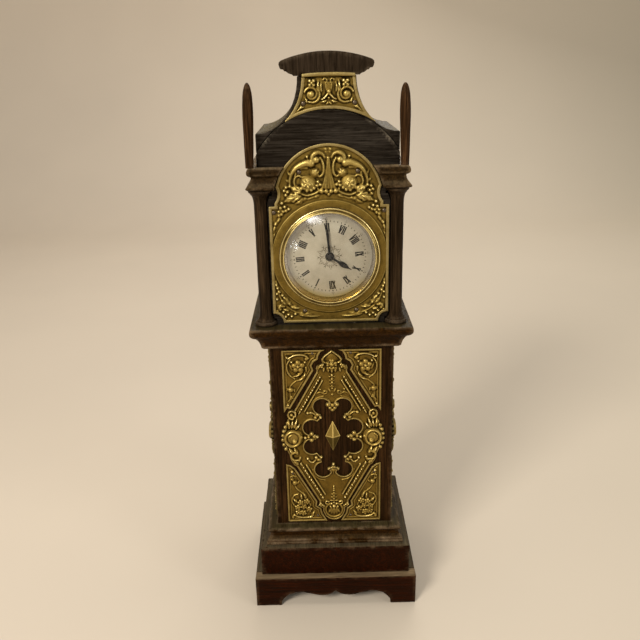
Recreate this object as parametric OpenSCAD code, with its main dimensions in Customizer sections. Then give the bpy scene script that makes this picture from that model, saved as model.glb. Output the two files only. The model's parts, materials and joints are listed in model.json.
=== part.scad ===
// Miniature longcase clock with a pagoda hood, a round drum movement and stamped brass mounts.
// The clock stands on z = 0 with its front towards -y; x runs to the viewer's right.
// The origin is the middle of the rectangle that the skirt covers.

/* [Trunk] */
// Width of the trunk
trunk_w = 76.2; // [74:0.1:90]
// Depth of the trunk, front face to the back of the case
trunk_d = 74.1; // [68:0.1:95]
// Height of the trunk boards
trunk_h = 140; // [130:1:180]
// Thickness of the trunk boards
trunk_board = 6; // [4:0.5:8]

/* [Base] */
// Height of the skirt with its bracket feet
skirt_h = 22.3; // [18:0.1:30]
// How far the skirt stands out from the trunk
skirt_out = 15.9; // [14:0.1:20]
// Thickness of the skirt boards
skirt_board = 8; // [5:0.5:10]
// Width of one bracket foot
foot_w = 17; // [14:0.5:22]
// Height of the cut-out between the feet, at its middle
cut_h = 11.2; // [8:0.1:14]
// Thickness of the bottom board
bottom_board = 5; // [3:0.5:6]
// Height of the plinth block
plinth_h = 21.2; // [16:0.1:30]
// How far the plinth block stands out from the trunk
plinth_out = 11.6; // [9.5:0.1:13]

/* [Hood] */
// Height of the moulded board under the hood
hood_base_h = 15; // [13:0.5:20]
// How far that board stands out from the trunk
hood_base_out = 10.95; // [10:0.05:14]
// How far the hood's front face stands before the trunk's
hood_proud = 1; // [0:0.1:2]
// Height of the hood's walls, up to the top of the cornice
hood_h = 94.3; // [92:0.1:110]
// Thickness of the hood boards
hood_board = 5; // [4:0.5:6]
// Height of the cornice
cornice_h = 12.4; // [11:0.1:14]
// How far the cornice stands out from the hood's front
cornice_out = 7.4; // [6.8:0.1:9]
// Depth of the rebate that the backboard is let into
back_rebate = 2.5; // [2.4:0.1:4]
// Thickness of the backboard
back_board = 4.5; // [3:0.5:6]

/* [Columns and finials] */
// Radius of a column's shaft
column_r = 3.8; // [3:0.1:4.2]
// Radius of a column's foot and cap
column_foot_r = 6.8; // [5.5:0.1:7]
// Gap between the dial mask and a column's shaft
column_gap = 1.1; // [0.6:0.1:2]
// Height of a finial
finial_h = 44.4; // [35:0.1:50]
// Largest radius of a finial
finial_r = 2.95; // [2:0.05:3.2]

/* [Pagoda roof] */
// Height of the eave corner over the cornice
eave_h = 17.8; // [14:0.1:22]
// Half the width of the neck under the cap
neck_half = 16.1; // [14:0.1:18]
// Height of the neck over the cornice
neck_h = 47.6; // [42:0.1:50]
// Rise of the arched front board over its springing
arch_rise = 23.1; // [20:0.1:25]
// Height of the arched board's springing over the cornice
arch_spring_h = 6.9; // [5:0.1:8]
// Half the width of the cap
cap_half = 25.8; // [23:0.1:30]
// Height of the cap at its middle, over the neck
cap_h = 12.6; // [11:0.1:16]
// Thickness of the roof's side boards
roof_board = 3; // [2:0.5:4]
// How far the pagoda board lies behind the hood's front face
pagoda_set_back = 1.2; // [0.8:0.1:1.5]

/* [Dial and drum] */
// Height of the dial's centre over the hood's floor
dial_up = 41.5; // [40:0.1:44]
// Outer radius of the bezel
bezel_r = 29.6; // [28:0.05:30]
// Outer radius of the drum case
drum_r = 26; // [25.8:0.1:26.4]
// Wall of the drum case
drum_wall = 0.6; // [0.4:0.1:0.8]
// Length of the drum case
drum_l = 24; // [24:0.5:30]
// Height of the bezel over the dial mask
bezel_h = 3.4; // [3:0.1:4]
// Rise of the domed glass
glass_rise = 3.4; // [2.5:0.1:4]
// Thickness of the glass
glass_t = 1; // [0.8:0.1:1.2]
// Length of the minute hand from its centre
minute_hand_l = 23; // [18:0.1:24]
// Length of the hour hand from its centre
hour_hand_l = 15.1; // [12:0.1:16]

/* [Brass mounts] */
// Thickness of the stamped brass sheet
brass_t = 0.6; // [0.4:0.1:0.8]
// Height of the raised border over the sheet
border_h = 0.5; // [0.3:0.1:0.8]
// Width of the raised border
border_w = 1.6; // [1:0.1:2.2]
// Plain wood left at each side of the trunk's brass field
field_margin = 7.3; // [6:0.1:9]
// Dark gap between the corner mounts and the lozenge
mount_gap = 1.8; // [1.2:0.1:2.5]

/* [Movement] */
// Thickness of the movement's plates
plate_t = 1.5; // [1:0.1:1.6]
// Distance between the two plates
pillar_l = 14; // [14:0.1:15]
// Radius of the barrel's drum
barrel_r = 9.3; // [8:0.1:9.5]
// Radius of the balance wheel
balance_r = 6; // [5:0.1:6.2]
// Span of the winding key's wings
key_w = 20; // [14:0.5:21]
// Radius of the knob that sets the hands
set_knob_r = 3.8; // [3:0.1:4.5]

/* [Back door] */
// Width of the back door
door_w = 54; // [46:0.5:56]
// Height of the back door
door_h = 60; // [50:0.5:66]
// Height of the door's lower edge over the hood's floor
door_up = 12; // [8:0.5:16]
// Gap round the door
door_gap = 0.3; // [0.2:0.05:0.5]

/* [Hidden] */
$fn = 48;

// Colours
oak = [0.16, 0.10, 0.07];
oak_light = [0.24, 0.16, 0.11];
gilt = [0.72, 0.56, 0.24];
brass = [0.80, 0.65, 0.32];
steel = [0.45, 0.46, 0.48];
blued = [0.10, 0.11, 0.16];

// Fits
running = 0.05; // radial clearance of a shaft in its hole
seat = 0.1; // clearance of a piece laid into another
past = 60; // how far a cutting profile reaches past its work

// Heights
plinth_z = skirt_h;
trunk_z = plinth_z + plinth_h;
hood_base_z = trunk_z + trunk_h;
floor_z = hood_base_z + hood_base_h;
cornice_top_z = floor_z + hood_h;
cornice_z = cornice_top_z - cornice_h;
eave_z = cornice_top_z + eave_h;
neck_z = cornice_top_z + neck_h;
spring_z = cornice_top_z + arch_spring_h;
arch_z = spring_z + arch_rise;
cap_top_z = neck_z + cap_h;
dial_z = floor_z + dial_up;

// Depths, front to back
back_y = (trunk_d + skirt_out) / 2;
trunk_y = back_y - trunk_d;
hood_y = trunk_y - hood_proud;
pagoda_y = hood_y + pagoda_set_back;
board_back_y = back_y - back_rebate;
board_front_y = board_back_y - back_board;
mask_y = hood_y - brass_t;

// Half widths
trunk_half = trunk_w / 2;
ledge = 3.05; // floor of the hood left outside a column's foot
column_x = trunk_half + hood_base_out - ledge - column_foot_r;
hood_half = column_x + 1;
mask_half = column_x - column_r - column_gap;
field_half = trunk_half - field_margin;
hood_inner = hood_half - hood_board;
trunk_inner = trunk_half - trunk_board;
column_y = hood_y + 1.7;

// Round arch of the front board, and of the dial mask
arch_r = (hood_half * hood_half + arch_rise * arch_rise) / (2 * arch_rise);
arch_centre_z = arch_z - arch_r;
mask_z = floor_z + 1.5;
mask_arch_r = mask_half - 3.3;
mask_arch_z = dial_z + 34;
mask_top_z = mask_arch_z + mask_arch_r;
shoulder_z = mask_arch_z - 3.5;

// General helpers

function polar(r, a) = [r * cos(a), r * sin(a)];
function arc(c, r, a0, a1, n) = [for (i = [0:n]) c + polar(r, a0 + (a1 - a0) * i / n)];
function mirrored(points) = [for (i = [len(points) - 1:-1:0]) [-points[i][0], points[i][1]]];

// Draws a flat shape in the x-z plane, from y back to y + t
module upright(y, t) {
    translate([0, y + t, 0]) rotate([90, 0, 0]) linear_extrude(t) children();
}

// Draws a flat shape in the y-z plane, from x to x + t
module sideways(x, t) {
    translate([x, 0, 0]) rotate([90, 0, 90]) linear_extrude(t) children();
}

// A box between two corners
module box(low, high) {
    translate(low) cube(high - low);
}

// A rod along y between two depths, on an axis of the movement
module rod(r, y0, y1) {
    translate([0, y1, 0]) rotate([90, 0, 0]) cylinder(r = r, h = y1 - y0);
}

// A turned piece whose axis is y: the profile is [radius, height towards the front]
module turned(y, profile) {
    translate([0, y, 0]) rotate([90, 0, 0]) rotate_extrude() polygon(profile);
}

// A point of the movement, given from the dial's centre
module at(p) {
    translate([p[0], 0, dial_z + p[1]]) children();
}

// A board whose front and two sides carry a moulding; the profile is [overhang, height]
module moulded(profile, z, half, front, back) {
    right = [for (p = profile) [half + p[0], z + p[1]]];
    top = z + profile[len(profile) - 1][1];
    intersection() {
        upright(front - past, back - front + past) polygon(concat(right, mirrored(right)));
        sideways(-half - past, 2 * (half + past))
            polygon(concat([for (p = profile) [front - p[0], z + p[1]]],
                [[back, top], [back, z + profile[0][1]]]));
    }
}

// The slot that the backboard passes through
module backboard_slot(z0, z1) {
    box([-trunk_inner - seat, board_front_y - seat, z0], [trunk_inner + seat, back_y + 1, z1]);
}

// Base

// Outline of the cut-out between two feet, as shares of half its width and of its height
cut_curve = [[1, 0], [0.99, 0.31], [0.95, 0.49], [0.86, 0.79], [0.75, 0.91], [0.62, 0.94],
    [0.47, 0.83], [0.35, 0.71], [0.25, 0.66], [0.15, 0.70], [0.065, 0.82], [0, 1]];

module skirt_cut(half) {
    side = [for (p = cut_curve) [p[0] * half, p[1] * cut_h]];
    polygon(concat([[-half, -1], [half, -1]], side, mirrored([for (i = [0:len(side) - 2]) side[i]])));
}

skirt_half = trunk_half + skirt_out;
skirt_y = trunk_y - skirt_out;

module skirt_front() {
    color(oak) difference() {
        box([-skirt_half, skirt_y, 0], [skirt_half, skirt_y + skirt_board, skirt_h]);
        upright(skirt_y - 1, skirt_board + 2) skirt_cut(skirt_half - foot_w);
    }
}

module skirt_side() {
    depth = back_y - skirt_y - skirt_board;
    color(oak) difference() {
        box([skirt_half - skirt_board, skirt_y + skirt_board, 0], [skirt_half, back_y, skirt_h]);
        translate([0, back_y - depth / 2, 0])
            sideways(skirt_half - skirt_board - 1, skirt_board + 2) skirt_cut(depth / 2 - foot_w / 2);
    }
}

module skirt_left() mirror([1, 0, 0]) skirt_side();
module skirt_right() skirt_side();

module bottom_board() {
    half = skirt_half - skirt_board;
    color(oak) box([-half, skirt_y + skirt_board, skirt_h - bottom_board], [half, board_front_y, skirt_h]);
}

plinth_profile = [[plinth_out, 0], [plinth_out, plinth_h - 0.6], [plinth_out - 0.6, plinth_h]];

module plinth_block() {
    color(oak) difference() {
        moulded(plinth_profile, plinth_z, trunk_half, trunk_y, back_y);
        backboard_slot(plinth_z - 1, trunk_z + 1);
    }
}

// Two stepped beads and a sloped top round the trunk's foot
foot_profile = [[7.8, 0], [7.8, 1.4], [7.3, 1.7], [7.3, 3.2], [6.5, 4.1], [5.2, 5.8], [4.9, 7.9],
    [5.9, 9], [6.35, 9.8], [6.2, 10.5], [5.6, 11], [0, 12.1]];

module foot_moulding() {
    color(oak_light) difference() {
        moulded(foot_profile, trunk_z, trunk_half, trunk_y, back_y);
        box([-trunk_half, trunk_y, trunk_z - 1], [trunk_half, back_y + 1, trunk_z + 20]);
    }
}

// Trunk

module trunk_front() {
    color(oak) box([-trunk_half, trunk_y, trunk_z], [trunk_half, trunk_y + trunk_board, hood_base_z]);
}

module trunk_side() {
    color(oak) box([trunk_inner, trunk_y + trunk_board, trunk_z], [trunk_half, back_y, hood_base_z]);
}

module trunk_left() mirror([1, 0, 0]) trunk_side();
module trunk_right() trunk_side();

door_z = floor_z + door_up;

// One long board closes the back of the base, the trunk and the hood
module backboard() {
    base_half = skirt_half - skirt_board;
    side = [[base_half, 0], [base_half, skirt_h], [trunk_inner, skirt_h], [trunk_inner, floor_z],
        [hood_inner, floor_z], [hood_inner, cornice_top_z]];
    color(oak) difference() {
        upright(board_front_y, back_board) polygon(concat(side, mirrored(side)));
        box([-door_w / 2, board_front_y - 1, door_z], [door_w / 2, board_back_y + 1, door_z + door_h]);
    }
}

// Hood

// Cavetto under a rounded nose
hood_base_profile = [[0, 0], [2.9, 0], [3.4, 0.5], [4.2, 1.2], [4.6, 3], [5.2, 5], [6.2, 7], [7.2, 8.3],
    [8.6, 9.1], [9.6, 9.9], [10.3, 11], [10.55, 12.2], [10.5, 13.8], [10.2, 15]];

module hood_base() {
    scale_out = hood_base_out / 10.55;
    scale_up = hood_base_h / 15;
    profile = [for (p = hood_base_profile) [p[0] * scale_out, p[1] * scale_up]];
    color(oak_light) difference() {
        moulded(profile, hood_base_z, trunk_half, trunk_y, back_y);
        backboard_slot(hood_base_z - 1, floor_z + 1);
    }
}

// Room for a column's foot and cap in the hood's boards
module column_room() {
    room = column_foot_r + 0.2;
    for (side = [-1, 1]) translate([side * column_x, column_y, 0]) {
        translate([0, 0, floor_z - 1]) cylinder(r = room, h = 5);
        translate([0, 0, floor_z]) cylinder(r1 = room, r2 = column_r + 0.2, h = 9);
        translate([0, 0, cornice_z - 9]) cylinder(r1 = column_r + 0.2, r2 = room, h = 9);
        translate([0, 0, cornice_z - 4]) cylinder(r = room, h = 4);
        translate([0, 0, floor_z]) cylinder(r = column_r + 0.2, h = cornice_z - floor_z);
    }
}

module arch_disc(grow) {
    translate([0, arch_centre_z]) circle(r = arch_r + grow, $fn = 96);
}

module hood_front() {
    low = column_x - column_r - 0.2;
    side = [[low, floor_z], [low, cornice_z], [hood_half, cornice_z], [hood_half, arch_z]];
    color(oak) difference() {
        upright(hood_y, hood_board) intersection() {
            polygon(concat(side, mirrored(side)));
            union() {
                arch_disc(0);
                translate([-hood_half, floor_z]) square([2 * hood_half, spring_z - floor_z]);
            }
        }
        column_room();
        at([0, 0]) rod(drum_r + 0.3, hood_y - 1, hood_y + hood_board + 1);
    }
}

module hood_side() {
    color(oak) difference() {
        box([hood_inner, hood_y + hood_board, floor_z], [hood_half, back_y, cornice_top_z]);
        column_room();
    }
}

module hood_left() mirror([1, 0, 0]) hood_side();
module hood_right() hood_side();

// Moulding of the cornice: [distance in from its outer edge, height]
cornice_curve = [[1.2, 0], [0.3, 0.5], [0, 1], [0.15, 1.6], [1.1, 2.7], [2.1, 3.9], [2.8, 5.2], [3.1, 6.4],
    [3.1, 7.2], [2.2, 7.6], [1.2, 8.3], [0.83, 9.3], [0.85, 10.4], [1.2, 11.5], [1.9, 12.4]];

module cornice_side() {
    lift = cornice_h / 12.4;
    profile = [for (p = cornice_curve) [cornice_out - p[0], p[1] * lift]];
    color(oak_light) difference() {
        moulded(profile, cornice_z, hood_half - 1, hood_y, back_y);
        box([-past, hood_y, cornice_z - 1], [hood_half, back_y + 1, cornice_top_z + 1]);
        box([-past, hood_y - past, cornice_z - 1], [0, back_y + 1, cornice_top_z + 1]);
        translate([0, 0, mask_arch_z]) rod(mask_arch_r + 0.3, hood_y - past, hood_y + 1);
    }
}

module cornice_left() mirror([1, 0, 0]) cornice_side();
module cornice_right() cornice_side();

// Columns and finials

column_h = cornice_z - floor_z;

// One end of a column: [radius, height], a torus, a fillet and a long flare
column_end = concat([[0, 0], [column_foot_r - 0.5, 0]], arc([column_foot_r - 1.2, 1.2], 1.2, -60, 75, 6),
    [[column_foot_r - 1.1, 2.5], [column_foot_r - 1.3, 3.1], [column_r + 1.1, 3.7], [column_r + 0.55, 4.8],
    [column_r + 0.2, 6.5], [column_r, 9]]);

module column() {
    top = [for (i = [len(column_end) - 1:-1:0]) [column_end[i][0], column_h - column_end[i][1]]];
    rotate_extrude() polygon(concat(column_end, top));
}

module columns() {
    color(oak) for (side = [-1, 1]) translate([side * column_x, column_y, floor_z]) column();
}

// A finial's outline: [share of its radius, share of its height]
finial_curve = [[0, 0], [0.76, 0], [0.79, 0.08], [0.85, 0.2], [0.9, 0.33], [0.96, 0.48], [1, 0.61],
    [0.98, 0.69], [0.93, 0.76], [0.79, 0.845], [0.61, 0.9], [0.48, 0.93], [0.34, 0.96], [0.2, 0.985],
    [0.1, 0.997], [0, 1]];

// The photo shows both turned pegs leaning: [x of the foot, tilt to the right, share of the height]
finial_stand = [[-hood_half - 3.6, 1.3, 1.015], [hood_half + 2.5, -0.8, 0.98]];

module finials() {
    finial_y = hood_y - finial_r - 0.1;
    sunk = 0.2; // reaches below the cornice's top before it is cut level with it
    color(oak_light) for (f = finial_stand) difference() {
        translate([f[0], finial_y, cornice_top_z - sunk]) rotate([0, f[1], 0]) rotate_extrude()
            polygon([for (p = finial_curve) [p[0] * finial_r, p[1] * (finial_h * f[2] + sunk)]]);
        translate([f[0], finial_y, cornice_top_z - 5]) cylinder(r = 2 * finial_r, h = 5);
    }
}

// Pagoda roof

// The concave sweep from the neck down to the eave corner, moved in by some millimetres
function sweep(grow_x, grow_z) = [for (a = [180:7.5:270])
    [hood_half + (hood_half - neck_half + grow_x) * cos(a), neck_z + (neck_z - eave_z + grow_z) * sin(a)]];

module pagoda_outline() {
    side = concat([[hood_half, cornice_top_z]], [for (i = [12:-1:0]) sweep(0, 0)[i]]);
    polygon(concat(side, mirrored(side)));
}

module pagoda_board() {
    color(oak) upright(pagoda_y, hood_board - pagoda_set_back) difference() {
        pagoda_outline();
        arch_disc(0.05);
        translate([-past, cornice_top_z - 1]) square([2 * past, spring_z - cornice_top_z + 1]);
    }
}

module roof_back() {
    color(oak) upright(board_front_y, back_y - board_front_y) pagoda_outline();
}

module roof_side() {
    outer = concat([[hood_half, cornice_top_z]], [for (i = [12:-1:0]) sweep(0, 0)[i]]);
    inner_x = hood_half - roof_board;
    inner = [for (p = sweep(roof_board, roof_board)) if (p[0] < inner_x) p];
    last = inner[len(inner) - 1];
    color(oak_light) upright(hood_y + hood_board, board_front_y - hood_y - hood_board)
        polygon(concat(outer, [[inner[0][0], neck_z]], inner, [[inner_x, last[1]], [inner_x, cornice_top_z]]));
}

module roof_left() mirror([1, 0, 0]) roof_side();
module roof_right() roof_side();

// The cap's outline: stepped mouldings under a segmental top with rounded noses
module roof_cap() {
    reach = cap_half - neck_half;
    nose_z = neck_z + 5.9;
    crown = cap_top_z - nose_z - 2.2;
    crown_half = cap_half - 1.3;
    crown_r = (crown_half * crown_half + crown * crown) / (2 * crown);
    half_angle = asin(crown_half / crown_r);
    under = [[0, 0], [0.2, 0], [0.25, 0.7], [0.45, 1.3], [0.6, 2.4], [0.7, 2.5], [0.74, 3.3], [0.9, 3.6],
        [0.95, 4.4]];
    side = concat([for (p = under) [neck_half + p[0] * reach, neck_z + p[1]]],
        [[cap_half, nose_z], [cap_half - 0.25, nose_z + 1.3]],
        arc([0, cap_top_z - crown_r], crown_r, 90 - half_angle, 90, 10));
    left = mirrored([for (i = [0:len(side) - 2]) side[i]]);
    color(oak) upright(hood_y, back_y - hood_y) polygon(concat(side, left));
}

// Back door

hinge_r = 1.1;
hinge_pin_r = 0.5;
hinge_x = door_w / 2;
hinge_y = board_back_y + hinge_r + running;
hinge_zs = [door_z + door_h * 0.2, door_z + door_h * 0.8];
leaf_l = 9;
leaf_w = (hood_inner - door_w / 2) * 0.67; // a leaf covers two thirds of the stile
leaf_t = 0.5;
swing_gap = pow(back_board + hinge_r, 2) / (2 * door_w); // lets the free edge swing out

module back_door() {
    color(oak_light) box([-door_w / 2 + door_gap + swing_gap, board_front_y, door_z + door_gap],
        [door_w / 2 - door_gap, board_back_y, door_z + door_h - door_gap]);
}

// A leaf laid on the wood at one side of the pin
module leaf(side) {
    near = 0.3;
    translate([hinge_x, 0, 0])
        box([side > 0 ? near : -leaf_w, board_back_y, -leaf_l / 2], [side > 0 ? leaf_w : -near,
            board_back_y + leaf_t, leaf_l / 2]);
}

module hinge_leaves() {
    color(brass) for (z = hinge_zs) translate([0, 0, z]) {
        difference() {
            leaf(1);
            for (end = [-1, 1]) translate([hinge_x, hinge_y, end * leaf_l / 3 - leaf_l / 6 - seat])
                cylinder(r = hinge_r + seat, h = leaf_l / 3 + 2 * seat);
        }
        translate([hinge_x, hinge_y, -leaf_l / 6]) cylinder(r = hinge_r, h = leaf_l / 3);
        translate([hinge_x, hinge_y, -leaf_l / 2]) cylinder(r = hinge_pin_r, h = leaf_l);
    }
}

module door_leaves() {
    color(brass) for (z = hinge_zs) translate([0, 0, z]) difference() {
        union() {
            leaf(-1);
            for (end = [-1, 1]) translate([hinge_x, hinge_y, end * leaf_l / 3 - leaf_l / 6])
                cylinder(r = hinge_r, h = leaf_l / 3);
        }
        translate([hinge_x, hinge_y, -leaf_l / 6 - seat]) cylinder(r = hinge_r + seat, h = leaf_l / 3 + 2 * seat);
        translate([hinge_x, hinge_y, -leaf_l]) cylinder(r = hinge_pin_r + running, h = 2 * leaf_l);
    }
}

module door_knob() {
    knob = [[0, 0], [1.1, 0], [0.8, 0.8], [1.9, 1.4], [1.9, 1.9], [1.2, 2.3], [0, 2.35]];
    color(brass) translate([-door_w / 2 + 6, board_back_y, door_z + door_h / 2])
        rotate([-90, 0, 0]) rotate_extrude() polygon(knob);
}

// Brass mounts

crest_bottom = 0.5; // the crest mount clears the arched board by this much
crest_shift = 1; // the photo shows it nailed on to the right of the middle
crest_tips = [-23.2, 26.4]; // x of its lower tips

// The crest mount follows the roof's sweep and the arched board
module crest_outline(inset) {
    side = [for (p = sweep(1.5, -0.3)) p - [inset, 0]];
    top = neck_z - 0.6 - inset;
    right = concat([for (i = [len(side) - 1:-1:0]) if (side[i][1] < top - 1) side[i]],
        [[neck_half - 1.5 - inset, top]]);
    difference() {
        intersection() {
            translate([crest_shift, 0]) polygon(concat(right, mirrored(right)));
            translate([crest_tips[0] + inset, arch_centre_z])
                square([crest_tips[1] - crest_tips[0] - 2 * inset, top - arch_centre_z]);
        }
        arch_disc(crest_bottom + inset);
    }
}

module crest_mount() {
    color(gilt) {
        difference() {
            upright(pagoda_y - brass_t, brass_t) crest_outline(0);
            on_crest_pins() pin_hole();
        }
        upright(pagoda_y - brass_t - border_h, border_h) difference() {
            crest_outline(0);
            crest_outline(border_w);
        }
    }
}

notch_r = 7.5;
corner_r = 6;

module mask_outline(inset) {
    half = mask_half - inset;
    difference() {
        union() {
            translate([-half, mask_z + inset]) square([2 * half, shoulder_z - mask_z - 2 * inset]);
            translate([0, mask_arch_z]) circle(r = mask_arch_r - inset, $fn = 96);
            translate([-mask_arch_r + inset, shoulder_z - inset - 1])
                square([2 * (mask_arch_r - inset), mask_arch_z - shoulder_z + inset + 1]);
        }
        for (side = [-1, 1]) {
            translate([side * (mask_half + 2.2), shoulder_z + 7]) circle(r = notch_r + inset);
            translate([side * (mask_half + 0.1), mask_z]) circle(r = corner_r + inset);
        }
    }
}

module mask_hole(r) {
    translate([0, dial_z]) circle(r = r, $fn = 96);
}

module dial_mask() {
    ring_r = mask_half - 0.2;
    color(gilt) {
        difference() {
            upright(mask_y, brass_t) difference() {
                mask_outline(0);
                mask_hole(drum_r + 0.4);
            }
            on_mask_pins() pin_hole();
        }
        upright(mask_y - border_h, border_h) difference() {
            mask_outline(0);
            mask_outline(border_w);
            mask_hole(ring_r);
        }
        upright(mask_y - border_h, border_h) intersection() {
            mask_outline(0);
            difference() {
                mask_hole(ring_r);
                mask_hole(bezel_r + seat);
            }
        }
    }
}

// Trunk mounts, drawn round the middle of a trunk face

field_z = trunk_z + 13.5;
field_h = hood_base_z - 2.2 - field_z;
lozenge_z = field_z + field_h / 2;
boss_x = field_half - 5.2;
boss_up = 1.8; // the bosses and the diamond sit above the middle
boss_r = 6.9;
tip_h = field_h / 2 - 6.6;
lobe_r = 5.3;
lobe_side = [13.4, 7.6];
lobe_top = [6.6, 21.8];

module lozenge_outline(grow) {
    a = boss_x + 10.2;
    b = tip_h + 9;
    slope = sqrt(a * a + b * b);
    half = [a + grow * slope / b, b + grow * slope / a];
    cut = tip_h - 8;
    intersection() {
        polygon([[half[0], 0], [0, half[1]], [-half[0], 0], [0, -half[1]]]);
        square([2 * (boss_x + grow), 2 * (cut + grow)], center = true);
    }
    for (side = [-1, 1]) {
        translate([side * boss_x, boss_up]) circle(r = boss_r + grow);
        for (end = [-1, 1]) translate([side * (boss_x - 0.6), end * 17]) circle(r = 3.2 + grow);
        translate([0, side * tip_h]) circle(r = 6.5 + grow);
        translate([0, side * (tip_h - 7)]) circle(r = 9 + grow);
    }
}

module lozenge_opening() {
    quarter = [[9.4, 0], [lobe_side[0], lobe_side[1]], [8, 15.2], [lobe_top[0], lobe_top[1]]];
    half = concat(quarter, [[0, 19.4]], mirrored(quarter));
    polygon(concat(half, [for (i = [len(half) - 2:-1:1]) [half[i][0], -half[i][1]]]));
    for (i = [-1, 1], j = [-1, 1], p = [lobe_side, lobe_top]) translate([i * p[0], j * p[1]]) circle(r = lobe_r);
}

module field_outline(inset) {
    square([2 * (field_half - inset), field_h - 2 * inset], center = true);
}

// Puts a mount on the front face and on both side faces of the trunk
module on_trunk_faces() {
    side_y = (trunk_y + back_y) / 2;
    translate([0, trunk_y, lozenge_z]) children();
    translate([trunk_half, side_y, lozenge_z]) rotate([0, 0, 90]) children();
    translate([-trunk_half, side_y, lozenge_z]) rotate([0, 0, -90]) children();
}

module corner_mounts() {
    color(gilt) on_trunk_faces() {
        difference() {
            upright(-brass_t, brass_t) difference() {
                field_outline(0);
                lozenge_outline(mount_gap);
            }
            on_corner_pins() pin_hole();
        }
        upright(-brass_t - border_h, border_h) difference() {
            field_outline(0);
            lozenge_outline(mount_gap);
            difference() {
                field_outline(border_w);
                lozenge_outline(mount_gap + border_w);
            }
        }
    }
}

module lozenge_mounts() {
    color(gilt) on_trunk_faces() {
        upright(-brass_t, brass_t) difference() {
            lozenge_outline(0);
            lozenge_opening();
        }
        upright(-brass_t - border_h, border_h) difference() {
            lozenge_outline(0);
            lozenge_outline(-border_w);
        }
        for (side = [-1, 1]) {
            translate([side * boss_x, -brass_t, boss_up]) dome(4.9, 2.9, 0.2);
            translate([0, -brass_t, side * tip_h]) dome(4.2, 1.5, 0.2);
        }
    }
}

// A low dome that faces the front, on a foot that reaches into its sheet
module dome(r, h, foot = 0) {
    ball = (r * r + h * h) / (2 * h);
    rotate([90, 0, 0]) intersection() {
        translate([0, 0, h - ball]) sphere(r = ball);
        translate([0, 0, -foot]) cylinder(r = r, h = h + foot + 1);
    }
}

module diamond_bosses() {
    half = [4.9, 11.1];
    rise = 2.6;
    color(gilt) on_trunk_faces() translate([0, 0, boss_up]) polyhedron(
        points = [[half[0], 0, 0], [0, 0, half[1]], [-half[0], 0, 0], [0, 0, -half[1]], [0, -rise, 0]],
        faces = [[0, 1, 2, 3], [1, 0, 4], [2, 1, 4], [3, 2, 4], [0, 3, 4]]);
}

// Pins that hold the mounts: [x, z] on each mount, with a hole for each in the sheet
mask_pins = [[16.5, dial_z + 49.6], [31.6, shoulder_z - 3.5], [15.4, mask_z + 7.3]];
crest_pins = [[14, neck_z - 14.2]];
corner_pins = [[11.8, field_h / 2 - 2.4], [11, 4 - field_h / 2], [26.6, 37 - field_h / 2]];
pin_r = 0.35;

module on_mask_pins() {
    for (side = [-1, 1], p = mask_pins) translate([side * p[0], mask_y, p[1]]) children();
}

module on_crest_pins() {
    for (side = [-1, 1], p = crest_pins) translate([crest_shift + side * p[0], pagoda_y - brass_t, p[1]]) children();
}

module on_corner_pins() {
    for (side = [-1, 1], p = corner_pins) translate([side * p[0], -brass_t, p[1]]) children();
}

module pin_hole() rod(pin_r + seat, -2, 2);

module pin(r) {
    dome(r, 0.45);
    rod(pin_r, -0.1, 2);
}

module mount_pins() {
    color(steel) {
        on_mask_pins() pin(0.9);
        on_crest_pins() pin(0.9);
        on_trunk_faces() on_corner_pins() pin(0.7);
    }
}

// Dial, glass and hands

dial_y = mask_y + 1.6;
dial_t = 0.5;
dial_r = drum_r - drum_wall - 0.2;
drum_y = mask_y + 1.5;
glass_r = drum_r + 0.35;

module bezel() {
    nose = bezel_h;
    profile = [[dial_r, -1.3], [dial_r - 0.45, -1.3], [glass_r - 0.5, nose - 1.1], [glass_r + seat, nose - 1.1],
        [glass_r + seat, nose - 0.5], [glass_r + 0.5, nose - 0.1], [glass_r + 0.9, nose],
        [bezel_r - 1.3, nose - 0.15], [bezel_r - 0.55, nose - 0.8], [bezel_r - 0.1, nose - 1.9],
        [bezel_r, nose - 2.6], [bezel_r, 0], [dial_r, 0]];
    color(brass) at([0, 0]) turned(mask_y, profile);
}

module glass() {
    rim = bezel_h - 1.05;
    ball = (glass_r * glass_r + glass_rise * glass_rise) / (2 * glass_rise);
    angle = asin(glass_r / ball);
    outer = arc([0, glass_rise + 0.6 - ball], ball, 90 - angle, 90, 12);
    inner = arc([0, glass_rise + 0.6 - ball], ball - glass_t, 90, 90 - angle + 1.5, 12);
    color([0.8, 0.9, 0.95, 0.4]) at([0, 0]) turned(mask_y - rim, concat(outer, inner, [[glass_r - 1.2, 0],
        [glass_r, 0]]));
}

hour_pipe_r = 1.9;
cannon_pipe_r = 1.2;
centre_r = 0.8;

module dial() {
    color([0.9, 0.85, 0.78]) at([0, 0]) difference() {
        rod(dial_r, dial_y, dial_y + dial_t);
        rod(hour_pipe_r + 0.4, dial_y - 1, dial_y + 1);
    }
}

hour_hand_y = dial_y - 0.8;
minute_hand_y = dial_y - 1.7;
hand_t = 0.3;
minute_hand_turn = 355.2; // clockwise from upright, as the photo shows it
hour_hand_turn = 122.8;

module hand_blank(y, turn, bore) {
    at([0, 0]) rotate([0, turn, 0]) upright(y, hand_t) difference() {
        children();
        circle(r = bore);
    }
}

module minute_hand() {
    l = minute_hand_l;
    color(blued) hand_blank(minute_hand_y, minute_hand_turn, cannon_pipe_r + running) {
        circle(r = 2);
        polygon([[0.75, 0], [0.62, l * 0.35], [0.8, l * 0.6], [0.35, l * 0.8], [0.12, l], [-0.12, l],
            [-0.35, l * 0.8], [-0.8, l * 0.6], [-0.62, l * 0.35], [-0.75, 0]]);
    }
}

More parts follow.
